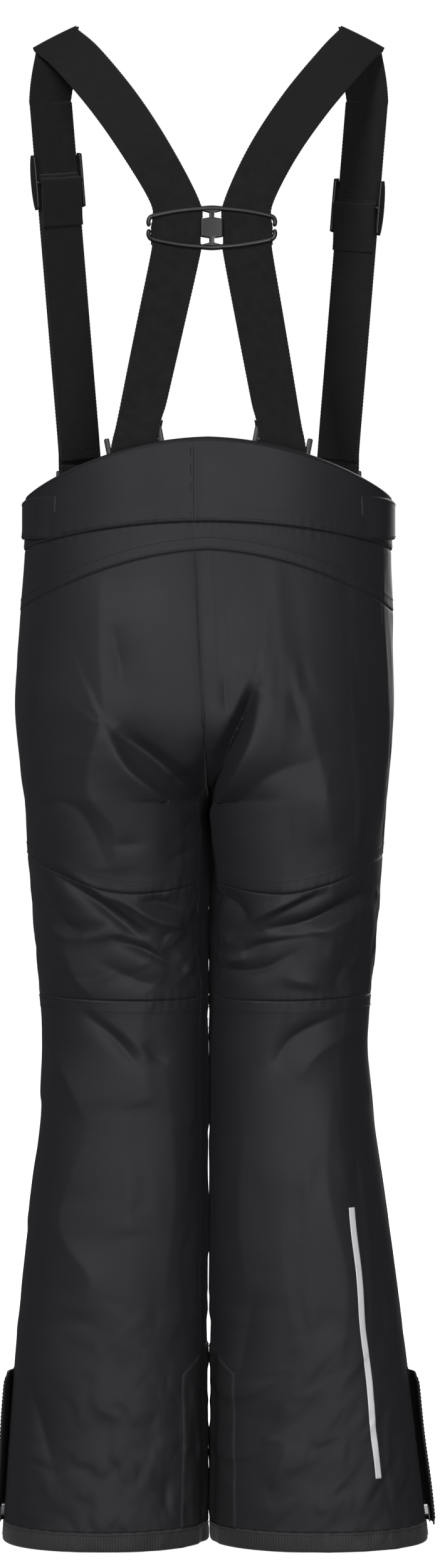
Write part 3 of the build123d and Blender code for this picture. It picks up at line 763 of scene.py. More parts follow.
def ribs_inside(nodes, given):
    """Elastic: long cords side by side, crossed by finer weft."""
    split = nodes.node("SeparateXYZ", {0: given["Vector"]})
    u = nodes.maths("DIVIDE", split["X"], given["Cord"])
    v = nodes.maths("DIVIDE", split["Y"], given["Weft"])
    cord = nodes.maths("ABSOLUTE", nodes.maths("SINE", nodes.maths("MULTIPLY", u, PI)))
    stagger = nodes.maths("MULTIPLY", nodes.maths("FLOOR", u), PI)
    weft = nodes.maths("SINE", nodes.maths("MULTIPLY_ADD", v, FULL_TURN, stagger))
    return {"Height": nodes.maths("MULTIPLY_ADD", weft, 0.25, cord)}


def mottle_inside(nodes, given):
    """Slow changes of tone and finer grain, both round 1."""
    made = {}
    for output, scale, detail in (("Tone", "Scale", 3.0), ("Grain", "Grain scale", 2.0)):
        noise = nodes.node("TexNoise", {"Vector": given["Vector"], "Scale": given[scale],
                                        "Detail": detail})
        centred = nodes.maths("SUBTRACT", noise[0], 0.5)
        spread = nodes.maths("MULTIPLY", centred, given["Amount"])
        made[output] = nodes.maths("MULTIPLY_ADD", spread, 2.0, 1.0)
    return made


def wear_and_highlight_inside(nodes, given):
    """Edge wear and painted highlight: 1 on sharp outer edges broken up by noise, 0 elsewhere. The
    edges it lightens are rubbed, and also carry a painted highlight of light glancing off them.
    """
    noise = nodes.node("TexNoise", {"Vector": given["Vector"], "Scale": given["Breakup"],
                                    "Detail": 5.0})
    pointed = nodes.node("NewGeometry")["Pointiness"]
    sharp = nodes.maths("MULTIPLY", nodes.maths("SUBTRACT", pointed, given["Edge"]), 14.0)
    return {"Wear": nodes.node("Clamp", {0: nodes.maths("MULTIPLY", sharp, noise[0])})[0]}


# node group: what wires its inside, its numbers and its outputs
GROUPS = {
    "Weave": (weave_inside, {"Pitch": 0.0006, "Twill": 0.0}, ("Height", "Thread")),
    "Elastic ribs": (ribs_inside, {"Cord": 0.0011, "Weft": 0.0008}, ("Height",)),
    "Mottle": (mottle_inside, {"Scale": 9.0, "Grain scale": 900.0, "Amount": 0.2},
               ("Tone", "Grain")),
    # Edge wear also paints a highlight along sharp edges, besides the rubbing
    "Edge wear": (wear_and_highlight_inside, {"Edge": 0.56, "Breakup": 160.0}, ("Wear",)),
}


def group_tree(name):
    """The named node group, made the first time it is asked for."""
    if name in bpy.data.node_groups:
        return bpy.data.node_groups[name]
    inside, numbers, outputs = GROUPS[name]
    tree = bpy.data.node_groups.new(name, "ShaderNodeTree")
    tree.interface.new_socket("Vector", in_out="INPUT", socket_type=VECTOR)
    for label, value in numbers.items():
        socket = tree.interface.new_socket(label, in_out="INPUT", socket_type=FLOAT)
        socket.default_value = value
    for label in outputs:
        tree.interface.new_socket(label, in_out="OUTPUT", socket_type=FLOAT)
    given, made = tree.nodes.new("NodeGroupInput"), tree.nodes.new("NodeGroupOutput")
    nodes = Nodes(tree)
    for label, value in inside(nodes, given.outputs).items():
        nodes.feed(made.inputs[label], value)
    return tree


SHELL, SCUFF, BINDING = "shell nylon", "ankle cloth", "hem binding"
LINING, ELASTIC, WEBBING = "lining taffeta", "brace elastic", "narrow webbing"
PLASTIC, HOOK_AND_SHEEN, METAL = "moulded plastic", "hook plastic", "plated metal"
FILM, THREAD, FUZZ, FLOOR = "reflective film", "sewing thread", "loop pad", "studio floor"
SPECULAR, SHEEN, SHEEN_ROUGHNESS = "Specular IOR Level", "Sheen Weight", "Sheen Roughness"

# finish: its colour, roughness and further sockets of the shader; the mottle's scale, amount
# and grain scale; the pattern's group, coordinates and numbers; what tints the colour, from
# which share of it to which (or to a colour of its own); and each bump's source, depth in
# metres and strength
FINISHES = {
    # dense nylon with a soft shine
    SHELL: ("shell", 0.58, {SPECULAR: 0.36, SHEEN: 0.04, SHEEN_ROUGHNESS: 0.4},
            (14.0, 0.16, 900.0), ("Weave", "UV", {"Pitch": 0.0007, "Twill": 0.5}),
            ("Blend", 0.8, 1.2), (("Height", 0.00005, 0.6), ("Grain", 0.00012, 0.25))),
    # tough cloth inside the ankle, coarser and duller
    SCUFF: ("scuff", 0.62, {SPECULAR: 0.4}, (30.0, 0.25, 900.0),
            ("Weave", "UV", {"Pitch": 0.0012}), ("Thread", 0.8, 1.2),
            (("Height", 0.00012, 0.8),)),
    # coarse diagonal tape round the hem
    BINDING: ("binding", 0.6, {SPECULAR: 0.45, SHEEN: 0.2}, (60.0, 0.3, 900.0),
              ("Weave", "UV", {"Pitch": 0.0024, "Twill": 1.0}), ("Thread", 0.55, 1.7),
              (("Height", 0.0003, 0.9),)),
    # thin taffeta
    LINING: ("lining", 0.5, {SHEEN: 0.1}, (25.0, 0.2, 900.0),
             ("Weave", "UV", {"Pitch": 0.0006}), ("Thread", 0.8, 1.2),
             (("Height", 0.00004, 0.6),)),
    # black knitted elastic with lengthwise cords
    ELASTIC: ("elastic", 0.78, {SPECULAR: 0.3, SHEEN: 0.1, SHEEN_ROUGHNESS: 0.6},
              (120.0, 0.25, 900.0), ("Elastic ribs", "UV", {"Cord": 0.0011, "Weft": 0.0009}),
              ("Height", 0.6, 1.25), (("Height", 0.0002, 0.8),)),
    # tight narrow webbing
    WEBBING: ("elastic", 0.66, {SPECULAR: 0.35}, (90.0, 0.25, 900.0),
              ("Elastic ribs", "Object", {"Cord": 0.0016, "Weft": 0.0012}),
              ("Tone", 0.8, 1.2), (("Height", 0.0002, 0.7),)),
    # fine-grained mouldings, lighter along their edges: rubbed there, and painted with a highlight
    # of light glancing off them
    PLASTIC: ("plastic", 0.38, {SPECULAR: 0.5}, (70.0, 0.3, 2400.0),
              ("Edge wear", "Object", {"Edge": 0.53, "Breakup": 220.0}),
              ("Wear", 1.0, 2.2), (("Grain", 0.00006, 0.35),)),
    # hooks: grey plastic, lighter than the keeper's partly as a painted reflection of grazing
    # light, and lighter still along the edges
    HOOK_AND_SHEEN: ("hook", 0.42, {SPECULAR: 0.5}, (70.0, 0.3, 2400.0),
           ("Edge wear", "Object", {"Edge": 0.53, "Breakup": 220.0}),
           ("Wear", 1.0, 1.9), (("Grain", 0.00006, 0.35),)),
    # plated metal, lighter along its edges by the same mask: worn there, and a painted highlight
    METAL: ("metal", 0.32, {"Metallic": 1.0}, (300.0, 0.35, 4000.0),
            ("Edge wear", "Object", {"Edge": 0.54, "Breakup": 400.0}),
            ("Wear", 1.0, (0.42, 0.42, 0.43)), (("Grain", 0.00003, 0.3),)),
    # silver film of tiny glass beads
    FILM: ("reflective", 0.45, {"Metallic": 0.1, SPECULAR: 0.6}, (130.0, 0.25, 5200.0), None,
           ("Tone", 0.82, 1.15), (("Grain", 0.00005, 0.4),)),
    THREAD: ("thread", 0.5, {SPECULAR: 0.5}, (700.0, 0.4, 900.0), None, ("Tone", 0.7, 1.5), ()),
    # napped loops
    FUZZ: ("elastic", 0.95, {SHEEN: 0.5, SHEEN_ROUGHNESS: 0.4}, (500.0, 0.6, 1600.0), None,
           ("Tone", 0.6, 2.0), (("Grain", 0.0005, 0.8),)),
    FLOOR: ("floor", 0.8, {"Emission Color": (1, 1, 1, 1), "Emission Strength": 0.95},
            (3.0, 0.03, 900.0), None, None, ()),
}


def finish_of(name):
    """The named material, made from its row of FINISHES the first time it is asked for."""
    if name in bpy.data.materials:
        return bpy.data.materials[name]
    colour_name, roughness, fixed, mottle, pattern, tint, bumps = FINISHES[name]
    material = bpy.data.materials.new(name)
    material.use_nodes = True
    shader = material.node_tree.nodes["Principled BSDF"].inputs
    nodes = Nodes(material.node_tree)
    colour = tuple(getattr(colours(), colour_name))
    nodes.feed(shader["Base Color"], (*colour, 1))
    for socket, value in fixed.items():
        nodes.feed(shader[socket], value)
    coordinates = nodes.node("TexCoord")["Object"]
    scale, amount, grain = mottle
    sources = dict(nodes.node("Group", {"Vector": coordinates, "Scale": scale,
                                        "Amount": amount, "Grain scale": grain},
                              node_tree=group_tree("Mottle")).items())
    if pattern:
        group, mapping, numbers = pattern
        if mapping == "UV":
            coordinates = nodes.node("UVMap", uv_map="cloth")["UV"]
        sources.update(nodes.node("Group", {"Vector": coordinates, **numbers},
                                  node_tree=group_tree(group)).items())
    if tint:
        source, *shades = tint
        if source == "Blend":
            tone = nodes.maths("SUBTRACT", sources["Tone"], 0.75)
            sources["Blend"] = nodes.maths("MULTIPLY_ADD", sources["Thread"], 0.5, tone)
        first, last = ((*(shade if isinstance(shade, tuple) else
                          [c * shade for c in colour]), 1) for shade in shades)
        mixed = nodes.node("Mix", {"Factor": sources[source], "A": first, "B": last},
                           data_type="RGBA")
        nodes.feed(shader["Base Color"], mixed["Result"])
    nodes.feed(shader["Roughness"], nodes.maths("MULTIPLY", sources["Tone"], roughness))
    earlier = {}
    for source, depth, strength in bumps:
        bump = nodes.node("Bump", {"Distance": depth, "Strength": strength,
                                   "Height": sources[source], **earlier})
        earlier = {"Normal": bump["Normal"]}
        nodes.feed(shader["Normal"], bump["Normal"])
    return material


# Planes of the zips and the braces ----------------------------------------------------------
class Place:
    """A local frame: origin and three directions, in millimetres."""

    def __init__(self, origin, x, z):
        self.origin = np.array(origin, float)
        self.z = unit(np.array(z, float))
        x = np.array(x, float)
        self.x = unit(x - self.z * (x @ self.z))
        self.y = np.cross(self.z, self.x)

    def at(self, local):
        local = np.asarray(local, float)
        return (self.origin + local[..., :1] * self.x + local[..., 1:2] * self.y
                + local[..., 2:] * self.z)

    def direction(self, local):
        return self.at(local) - self.origin


def oval_point(measures, angle, height):
    """A point of a superellipse (middle, half width, front, back, squareness) by its angle."""
    middle, half, front, back, square = measures
    c, s = np.cos(np.radians(angle)), np.sin(np.radians(angle))
    depth = front if s < 0 else back
    return np.array([middle + half * signed_power(c, 2 / square),
                     depth * signed_power(s, 2 / square), height])


def sharp(sections, height):
    """All measures of the sections at a height, in straight lines."""
    heights = sorted(sections)
    return [np.interp(height, heights, column) for column in
            zip(*(sections[h] for h in heights))]


def trunk_measures(height):
    return sharp(TRUNK, height)


def leg_measures(side):
    def measures(height):
        left, right, depth, square = sharp(LEGS, height)
        outer = left if side > 0 else right
        return side * (outer + LEG_GAP) / 2, (outer - LEG_GAP) / 2, depth, depth, square

    return measures


def zip_place(measures, angle, low, high):
    """Plane of a zip on the cloth: x across it, y up along it, z out of the cloth."""
    lower = oval_point(measures(low), angle, low)
    upper = oval_point(measures(high), angle, high)
    middle = (low + high) / 2
    across = (oval_point(measures(middle), angle + 1, middle)
              - oval_point(measures(middle), angle - 1, middle))
    return Place(lower, across, np.cross(across, upper - lower))


def ankle_place(side):
    return zip_place(leg_measures(side), 0 if side > 0 else 180, 2, 150)


def pocket_place(side):
    return zip_place(trunk_measures, -40 if side > 0 else -140, 701, 812)


def fly_place():
    return zip_place(trunk_measures, -90, 700, 820)


ANKLE_LENGTH, FLY_LENGTH, POCKET_LENGTH = 140, 118, 108
# across and out of one tape of a zip, from the cord at its inner edge
TAPE = ((0.4, -1.0), (1.2, -0.7), (2.2, -0.4), (2.7, -0.6), (3.2, -0.75), (6.0, -0.8),
        (9.0, -0.75), (12.0, -0.8))
COIL_PITCH = 1.5
OVERLAP = (-35, 9, 824.5, 847.5)  # right, left, lower and upper edge of the waist's overlap
STUD_HEIGHT = 836
# radius and stand of a press stud's cap, from its middle outwards
STUD = ((0.05, 1.5), (2.0, 1.45), (3.6, 1.7), (4.6, 1.8), (5.3, 1.5), (5.5, 0.9), (5.4, 0.3),
        (5.0, 0.0))
LOOP_PAD = (-9.5, -70.5, 827.5, 852.5)  # rear, front, lower and upper edge
TAB_ENDS, FLAP_ENDS = (59.5, -39.5), (10, 136)  # from rear to front, and up the ankle zip
STRIP_ENDS, LINING_ENDS, GAITER_TOP, GAITER_LENGTH = (280, 59), (20.0, 815.0), 150, 126
BAND_CELL, HEM_TOP, TAB_CLOTH = 1.9, 16.2, 0.0018
STRAP_APART, LEVEL = 29, np.array([1.0, 0, 0])
# places of a strap between the keeper and the shoulder, and how far it leans there
UP_THE_BACK = ((50, 77, 1134, 10), (78, 48, 1180, 20), (109, 16, 1222, 26))
SLOT_HALF = 12.4  # half the width of a zip's slot: its tapes and 0.4 of play a side
ANKLE_SLOT, POCKET_SLOT, FLY_SLOT = (0, 142.4), (700.6, 809.4), (699.6, 818.4)
SHOULDER = np.array([126.0, 0.0, 1240.0])
FRONT_TOP = np.array([132.0, -12.0, 1195.0])
FRONT_BAR = np.array([107.3, -57.6, 878.0])
BACK_BAR = np.array([59.5, 76.0, 899.0])
FRONT_TURN, BACK_TURN, BACK_LEAN = 33, 17, 11.5
FOLD_RADIUS, FOLD_TILT = 4.0, 27
PLATE, KEEPER_HALF = np.array([-2.8, 88.0, 1072.0]), 48.2
STRAP_JOINT = 13.2  # the braces' pieces meet this far down, behind the keeper's lower bar
ADJUSTER_PLACES = {"left": 253, "right": 232}
TAIL_LAYER, ADJUSTER_BAR, BAR_RADIUS = -2.0, -4.6, 1.5


def hook_place(side, face):
    """Plane of a hook: x along its bar, y up, z out towards the waistband."""
    turn = np.radians(FRONT_TURN if face == "front" else BACK_TURN)
    bar_at = (FRONT_BAR if face == "front" else BACK_BAR) * (side, 1, 1)
    out = np.array([side * np.sin(turn), -np.cos(turn) if face == "front" else np.cos(turn), 0])
    flat = Place(bar_at, np.cross((0, 0, 1), out), out)
    lean = np.radians(0 if face == "front" else side * BACK_LEAN)
    return Place(bar_at, flat.x * np.cos(lean) + flat.y * np.sin(lean), out)


def front_strap_place(side):
    """Plane of a front strap: x across, y up along it, z out to the front."""
    lower, upper = FRONT_BAR * (side, 1, 1), FRONT_TOP * (side, 1, 1)
    upward = unit(upper - lower)
    turn = np.radians(FRONT_TURN)
    level = np.array([np.cos(turn), side * np.sin(turn), 0])
    across = unit(level - upward * (level @ upward))
    return Place(lower, across, np.cross(across, upward))


# Panels of the shell ------------------------------------------------------------------------
def panel_grid(side, rear, upper, lower, cell, holes=()):
    """Turns and heights of a panel between two seams, with grid lines on its slots' edges,
    and which of its cells are kept. A slot is (first turn, last turn, low, high)."""
    first, last = (0.0, np.pi) if rear else (-np.pi, 0.0)
    middle = (SEAMS[upper][1] + SEAMS[lower][1]) / 2
    turns = even_turns(side, first, last, min(middle, LEG_TOP), cell)
    turns = snap(turns, [edge for hole in holes for edge in hole[:2]])
    high, low = seam_on(side, upper, turns), seam_on(side, lower, turns)
    share = np.linspace(0, 1, max(4, int(round(np.mean(high - low) / cell))) + 1)
    for hole in holes:
        middle = np.abs(turns - (hole[0] + hole[1]) / 2).argmin()
        share = snap(share, [(edge - low[middle]) / (high[middle] - low[middle])
                             for edge in hole[2:]])
    heights = low + share[:, None] * (high - low)
    keep = np.ones((len(share) - 1, len(turns) - 1), bool)
    for hole in holes:
        middle = np.abs(turns - (hole[0] + hole[1]) / 2).argmin()
        cell_turn = (turns[1:] + turns[:-1]) / 2
        cell_height = (heights[1:, middle] + heights[:-1, middle]) / 2
        keep &= ~(((cell_turn > hole[0]) & (cell_turn < hole[1]))[None]
                  & ((cell_height > hole[2]) & (cell_height < hole[3]))[:, None])
    return np.broadcast_to(turns, heights.shape), heights, keep


def slots(side, rear, name):
    """The zip slots that a panel has."""
    if name.startswith("shin"):
        edge = turn_at_depth(side, SLOT_HALF, 75)
        return [(0 if rear else -edge, edge if rear else 0, *ANKLE_SLOT)]
    if name == "front_panel":
        place = pocket_place(side)
        edges = sorted(turn_at_width(side, abs(place.at((x, 50, 0))[0]), 755, False)
                       for x in (-SLOT_HALF, SLOT_HALF))
        return [(*edges, *POCKET_SLOT), (-np.pi, turn_at_width(side, SLOT_HALF, 760, False),
                                         *FLY_SLOT)]
    return []


def build_panel(name, side, hand, rear, upper, lower):
    """One cut of the outer cloth as a thick sheet that stands for its CAD node."""
    turns, heights, keep = panel_grid(side, rear, upper, lower, sizes().cell / MM,
                                      slots(side, rear, name))
    points, _ = cloth_at(side, turns, heights)
    piece = sheet_object(f"{name}_{hand}_cloth", points, SHELL, side < 0, keep)
    cut(weld(piece, 0.02), form(side, turns, heights), sizes().cloth, "shell_cloth",
        f"{name}_{hand}")


PANELS = (
    ("yoke_back", True, "waist_back", "yoke"),
    ("seat_panel", True, "yoke", "seat"),
    ("knee_back", True, "seat", "knee_back"),
    ("shin_back", True, "knee_back", "hem_top"),
    ("front_panel", False, "waist_front", "thigh_front"),
    ("knee_front", False, "thigh_front", "knee_front"),
    ("shin_front", False, "knee_front", "hem_top"),
)


class TROUSERS_OT_panels(bpy.types.Operator):
    """Sew the panels of the outer cloth, with their folds, dips and zip slots"""

    bl_idname = "trousers.panels"
    bl_label = "Shell panels"

    def execute(self, context):
        for side, hand in SIDES:
            for name, rear, upper, lower in PANELS:
                build_panel(name, side, hand, rear, upper, lower)
        return {"FINISHED"}


def rounded_edge(distance, radius):
    """How far cloth drops as it turns over an edge: a quarter circle."""
    t = np.clip(distance / radius, 0, 1)
    return radius * (1 - np.sqrt(1 - (1 - t) ** 2))


class TROUSERS_OT_waistband(bpy.types.Operator):
    """Build the raised back waistband, the front halves and the overlap with its studs"""

    bl_idname = "trousers.waistband"
    bl_label = "Waistband"

    def execute(self, context):
        halves = []
        for side, hand in SIDES:
            for rear, upper, lower in ((True, "rim_back", "waist_back"),
                                       (False, "rim_front", "waist_front")):
                turns, heights, _ = panel_grid(side, rear, upper, lower, BAND_CELL)
                rim = heights[-1:] - heights
                lift = 0.7 - rounded_edge(rim, 2.0)
                lift = lift + 0.3 * np.sin(turns * 9) * ease(rim, 2, 12)
                points, _ = cloth_at(side, turns, heights, lift)
                half = sheet_object(f"band_{hand}_{rear}", points, SHELL, side < 0)
                halves.append((half, points, side, hand, rear))
        back = weld(join("waistband_back_cloth", [h[0] for h in halves if h[4]]), 0.02)
        points = np.concatenate([h[1][:, ::h[2]] for h in halves if h[4]], 1)
        thick = sizes().cloth * 1.25
        cut(back, points, thick, "shell_cloth", "waistband_back")
        for half, points, side, hand, rear in halves:
            if not rear:
                half.name = f"waistband_front_{hand}_cloth"
                cut(weld(half, 0.02), points, thick, "shell_cloth", f"waistband_front_{hand}")
        self.overlap()
        return {"FINISHED"}

    def overlap(self):
        """The left half's end lies over the right one and closes with two press studs."""
        right, left, low, high = OVERLAP
        width, height = np.meshgrid(np.linspace(left, right, 34), np.linspace(low, high, 20))
        _, half, front, _, square = trunk_measures(STUD_HEIGHT)
        y = -front * (1 - np.abs(width / half) ** square) ** (1 / square)
        from_edge = np.minimum(np.minimum(width - right, high - height), height - low)
        y = y - 2.6 + rounded_edge(np.maximum(from_edge, 0), 1.6)
        points = np.stack([width, y, height], -1)
        tab = sheet_object("waist_overlap_cloth", points, SHELL)
        cut(tab, points, TAB_CLOTH, "shell_cloth")
        radius, stand = np.array(STUD).T[:, :, None]
        turn = round_turns(28)
        caps = [tube("stud", np.stack([x + radius * np.cos(turn), -front - 2.7 - stand + 0 * turn,
                                       STUD_HEIGHT + radius * np.sin(turn)], -1), METAL)
                for x in (-10, -26)]
        studs = weld(join("waist_studs", caps), 0.12)
        settle(studs, "trousers", "snap_metal", "waist_snaps")


def hem_turns(side):
    """Turns round a leg's hem, from one edge of the ankle zip to the other."""
    edge = turn_at_depth(side, SLOT_HALF, 8)
    behind, ahead = (even_turns(side, *ends, 8, 1.6) for ends in ((edge, np.pi), (-np.pi, -edge)))
    return np.concatenate([behind, ahead[1:]])


def patch_outline(side, rear, width, cell):
    """Turn of an ankle patch's edge, turns from there to the inseam, and its top there."""
    inner = turn_at_width(side, width, 80, rear)
    turns = even_turns(side, *sorted((inner, np.pi if rear else -np.pi)), 80, cell)
    x = np.abs(form(side, turns, 100.0)[:, 0])
    return inner, turns, PATCH_HIGH - (PATCH_HIGH - PATCH_LOW) * np.clip(x / PATCH_EDGE, 0, 1)


class TROUSERS_OT_hems(bpy.types.Operator):
    """Build the hem bindings and the ankle patches, each cut to the leg's outline"""

    bl_idname = "trousers.hems"
    bl_label = "Hems and ankle patches"

    def execute(self, context):
        for side, hand in SIDES:
            self.binding(side, hand)
            self.patch(side, hand)
        return {"FINISHED"}

    def binding(self, side, hand):
        """Tape folded round the raw edge: it stands proud and bulges in the middle."""
        turns = hem_turns(side)
        share = np.linspace(0, 1, 13)[:, None]
        heights = 0.3 + 16.4 * share + 0 * turns
        puckers = 0.12 * np.sin(np.arange(len(turns)) * 0.9) * ease(share, 0.55, 0.9)
        lift = 0.5 + 0.5 * np.sin(np.pi * share) + puckers
        lift = lift - rounded_edge(heights, 1.8) - rounded_edge(16.7 - heights, 0.7)
        points, _ = cloth_at(side, np.broadcast_to(turns, heights.shape), heights, lift)
        tape = sheet_object(f"hem_binding_{hand}_tape", points, BINDING, side < 0)
        cut(weld(tape, 0.02), points, 0.0026, "hem_binding", f"hem_binding_{hand}")

    def patch(self, side, hand):
        """Cloth over the inside ankle: a house-shaped piece, pointed on the inseam."""
        halves = []
        for rear in (True, False):
            inner, turns, top = patch_outline(side, rear, PATCH_EDGE, 1.9)
            share = np.linspace(0, 1, 70)[:, None]
            heights = HEM_TOP + (top - HEM_TOP) * share
            lift = 1.0 - rounded_edge(top - heights, 1.0)
            from_side = np.abs(np.abs(form(side, turns, 80.0)[:, 0]) - PATCH_EDGE)
            lift = lift - rounded_edge(np.where(np.abs(turns - inner) < 1.2, from_side, 9), 1.0)
            points, _ = cloth_at(side, np.broadcast_to(turns, heights.shape), heights, lift)
            halves.append(sheet_object(f"patch_{hand}_{rear}", points, SCUFF, side < 0))
        whole = weld(join(f"ankle_patch_{hand}_cloth", halves), 0.02)
        thicken(whole, 0.0012)
        settle(whole, "trousers", "scuff_cloth", f"ankle_patch_{hand}")


# rows of top-stitching beside a seam: whether behind, how far above it, and how much
# farther than the others they stand off the cloth
ROWS = (
    (True, "waist_back", 3.0, 0.75), (True, "yoke", 2.0, 0), (True, "yoke", 9.5, 0),
    (True, "seat", 2.2, 0), (True, "seat", 9.8, 0), (True, "knee_back", -2.4, 0),
    (True, "knee_back", -9.6, 0), (False, "waist_front", 3.0, 0),
    (False, "thigh_front", 2.2, 0), (False, "thigh_front", 9.8, 0),
    (False, "knee_front", -2.4, 0), (False, "knee_front", -9.6, 0.75),
    (True, "rim_back", -3.2, 0.75), (False, "rim_front", -3.2, 0.75),
)


def seam_row(side, rear, seam, offset, lift):
    """A row of top-stitching beside a seam, and its normals."""
    start, end = (0.02, np.pi) if rear else (-np.pi, -0.02)
    turns = even_turns(side, start, end, min(SEAMS[seam][1], LEG_TOP), 1.2)
    points, normals = cloth_at(side, turns, seam_on(side, seam, turns) + offset, SEWN)
    return points + normals * lift, normals


class TROUSERS_OT_stitching(bpy.types.Operator):
    """Run the top-stitching beside the seams, the hems, the patches and the zips"""

    bl_idname = "trousers.stitching"
    bl_label = "Top-stitching"

    def execute(self, context):
        for side, hand in SIDES:
            lines = [seam_row(side, *row) for row in ROWS]
            lines += self.centre(side) + self.hem(side) + self.patch(side)
            lines += self.zip_edges(side)
            stitches(f"stitching_{hand}", lines, "trousers")
        return {"FINISHED"}

    def centre(self, side):
        """One row beside the seat seam, on the wearer's left."""
        if side < 0:
            return []
        heights = np.arange(640.0, 812.0, 1.5)
        turn = np.array([turn_at_width(side, 3.2, h, True) for h in heights])
        return [cloth_at(side, turn, heights, 0.1)]

    def hem(self, side):
        return [cloth_at(side, hem_turns(side), 14.2, 0.95)]

    def patch(self, side):
        lines = []
        for rear in (True, False):
            inner, turns, top = patch_outline(side, rear, PATCH_EDGE - 2.2, 1.5)
            heights = np.arange(18.0, PATCH_LOW - 1, 1.5)
            lines.append(cloth_at(side, inner, heights, 1.12))
            lines.append(cloth_at(side, turns, top - 2.6, 1.12))
        return lines

    def zip_edges(self, side):
        lines = []
        for name in ("shin", "front_panel"):
            for rear in ((True, False) if name == "shin" else (False,)):
                for first, last, low, high in slots(side, rear, name):
                    room = 0.03 if name == "shin" else 0.012
                    heights = np.arange(max(low, 18) - 2.0, high + 2.5, 1.5)
                    for turn in (first - room, last + room):
                        if -np.pi < turn < np.pi and not (name == "shin" and abs(turn) < 0.1):
                            lines.append(cloth_at(side, turn, heights, 0.1))
        return lines


class TROUSERS_OT_lining(bpy.types.Operator):
    """Build the lining and the snow gaiters inside the legs"""

    bl_idname = "trousers.lining"
    bl_label = "Lining and snow gaiters"

    def execute(self, context):
        halves, grids = [], []
        for side, hand in SIDES:
            turns = even_turns(side, -np.pi, np.pi, 500, 5.0)
            heights = np.linspace(*LINING_ENDS, 170)[:, None] + 0 * turns
            points, _ = cloth_at(side, np.broadcast_to(turns, heights.shape), heights,
                                 -(sizes().cloth / MM + 1.4))
            halves.append(sheet_object(f"lining_{hand}", points, LINING, side < 0))
            grids.append(points)
        cut(weld(join("lining_cloth", halves), 0.3),
            np.concatenate([grids[0], grids[1][:, ::-1]], 1), sizes().lining, "lining_cloth",
            "lining")
        for side, hand in SIDES:
            self.gaiter(side, hand)
        return {"FINISHED"}

    def gaiter(self, side, hand):
        """A cone of thin cloth, gathered in small folds by the elastic in its hem."""
        turn = round_turns(240)
        share = np.linspace(0, 1, 46)[:, None]
        height = GAITER_TOP - GAITER_LENGTH * share
        measures = leg_measures(side)
        middle, wide, deep = (high + (low - high) * share for low, high in
                              zip(measures(0)[:3], measures(GAITER_TOP)[:3]))
        room_x, room_y = 4.6 + 19 * share, 4.6 + 8 * share
        gather = 1.6 * share * np.sin(34 * turn) + 0.9 * share * np.sin(13 * turn + 1)
        hem = 1.2 * ease(share, 0.9, 0.95)
        points = np.stack([middle + (wide - room_x + gather - hem) * np.cos(turn),
                           (deep - room_y + gather - hem) * np.sin(turn),
                           height + 0 * turn], -1)
        uv = np.stack(np.broadcast_arrays(turn * 60, height), -1).reshape(-1, 2)
        cone = tube(f"snow_gaiter_{hand}_cloth", points, LINING, uv=uv)
        cut(cone, np.concatenate([points, points[:, :1]], 1), sizes().lining, "lining_cloth",
            f"snow_gaiter_{hand}", held="gathered")


# Zips -------------------------------------------------------------------------------------------
def zip_pieces(name, place, length):
    """Two woven tapes with a cord along their inner edges, and the meshed coil between."""
    across, out = np.array(TAPE).T
    y = np.linspace(0, length, 60)[:, None]
    strips = []
    for hand in (-1, 1):
        local = np.stack(np.broadcast_arrays(across * hand, y, out), -1)
        strips.append(sheet_object(f"{name}_tape_{hand}", place.at(local), WEBBING, hand < 0))
    tape = join(f"{name}_tape", strips)
    thicken(tape, 0.0007)
    settle(tape, "trousers", "zip_tape", name)
    count = int(length / COIL_PITCH)
    y = (np.arange(count) + 0.5) * COIL_PITCH
    places, heading = [], []
    for hand, shift in ((-1, 0.0), (1, COIL_PITCH / 2)):
        local = np.broadcast_arrays(0.7 * hand, y + shift, -0.05)
        places.append(place.at(np.stack(local, -1)))
        heading.append(np.broadcast_to(place.direction((hand, 0.22, 0)), (count, 3)))
    coil = repeated(f"{name}_coil", *lozenge(3.6, 1.05, 0.75), np.concatenate(places),
                    np.concatenate(heading), place.z, PLASTIC)
    settle(coil, "trousers", "zip_tape")


class TROUSERS_OT_zips(bpy.types.Operator):
    """Build the tapes and coils of the fly, pocket and ankle zips"""

    bl_idname = "trousers.zips"
    bl_label = "Zips"

    def execute(self, context):
        zip_pieces("fly_zip", fly_place(), FLY_LENGTH)
        for side, hand in SIDES:
            zip_pieces(f"pocket_zip_{hand}", pocket_place(side), POCKET_LENGTH)
            zip_pieces(f"ankle_zip_{hand}", ankle_place(side), ANKLE_LENGTH)
        return {"FINISHED"}


def arc_through(first, middle, last, count):
    """Points of the circle arc through three points of a plane."""
    a, b, c = (np.array(p, float) for p in (first, middle, last))
    lines = np.array([b - a, c - b])
    centre = np.linalg.solve(lines, (lines * np.array([(a + b) / 2, (b + c) / 2])).sum(1))
    angles = np.unwrap([np.arctan2(*(p - centre)[::-1]) for p in (a, b, c)])
    turn = np.linspace(angles[0], angles[2], count)
    radius = np.linalg.norm(a - centre)
    return centre + radius * np.stack([np.cos(turn), np.sin(turn)], -1)


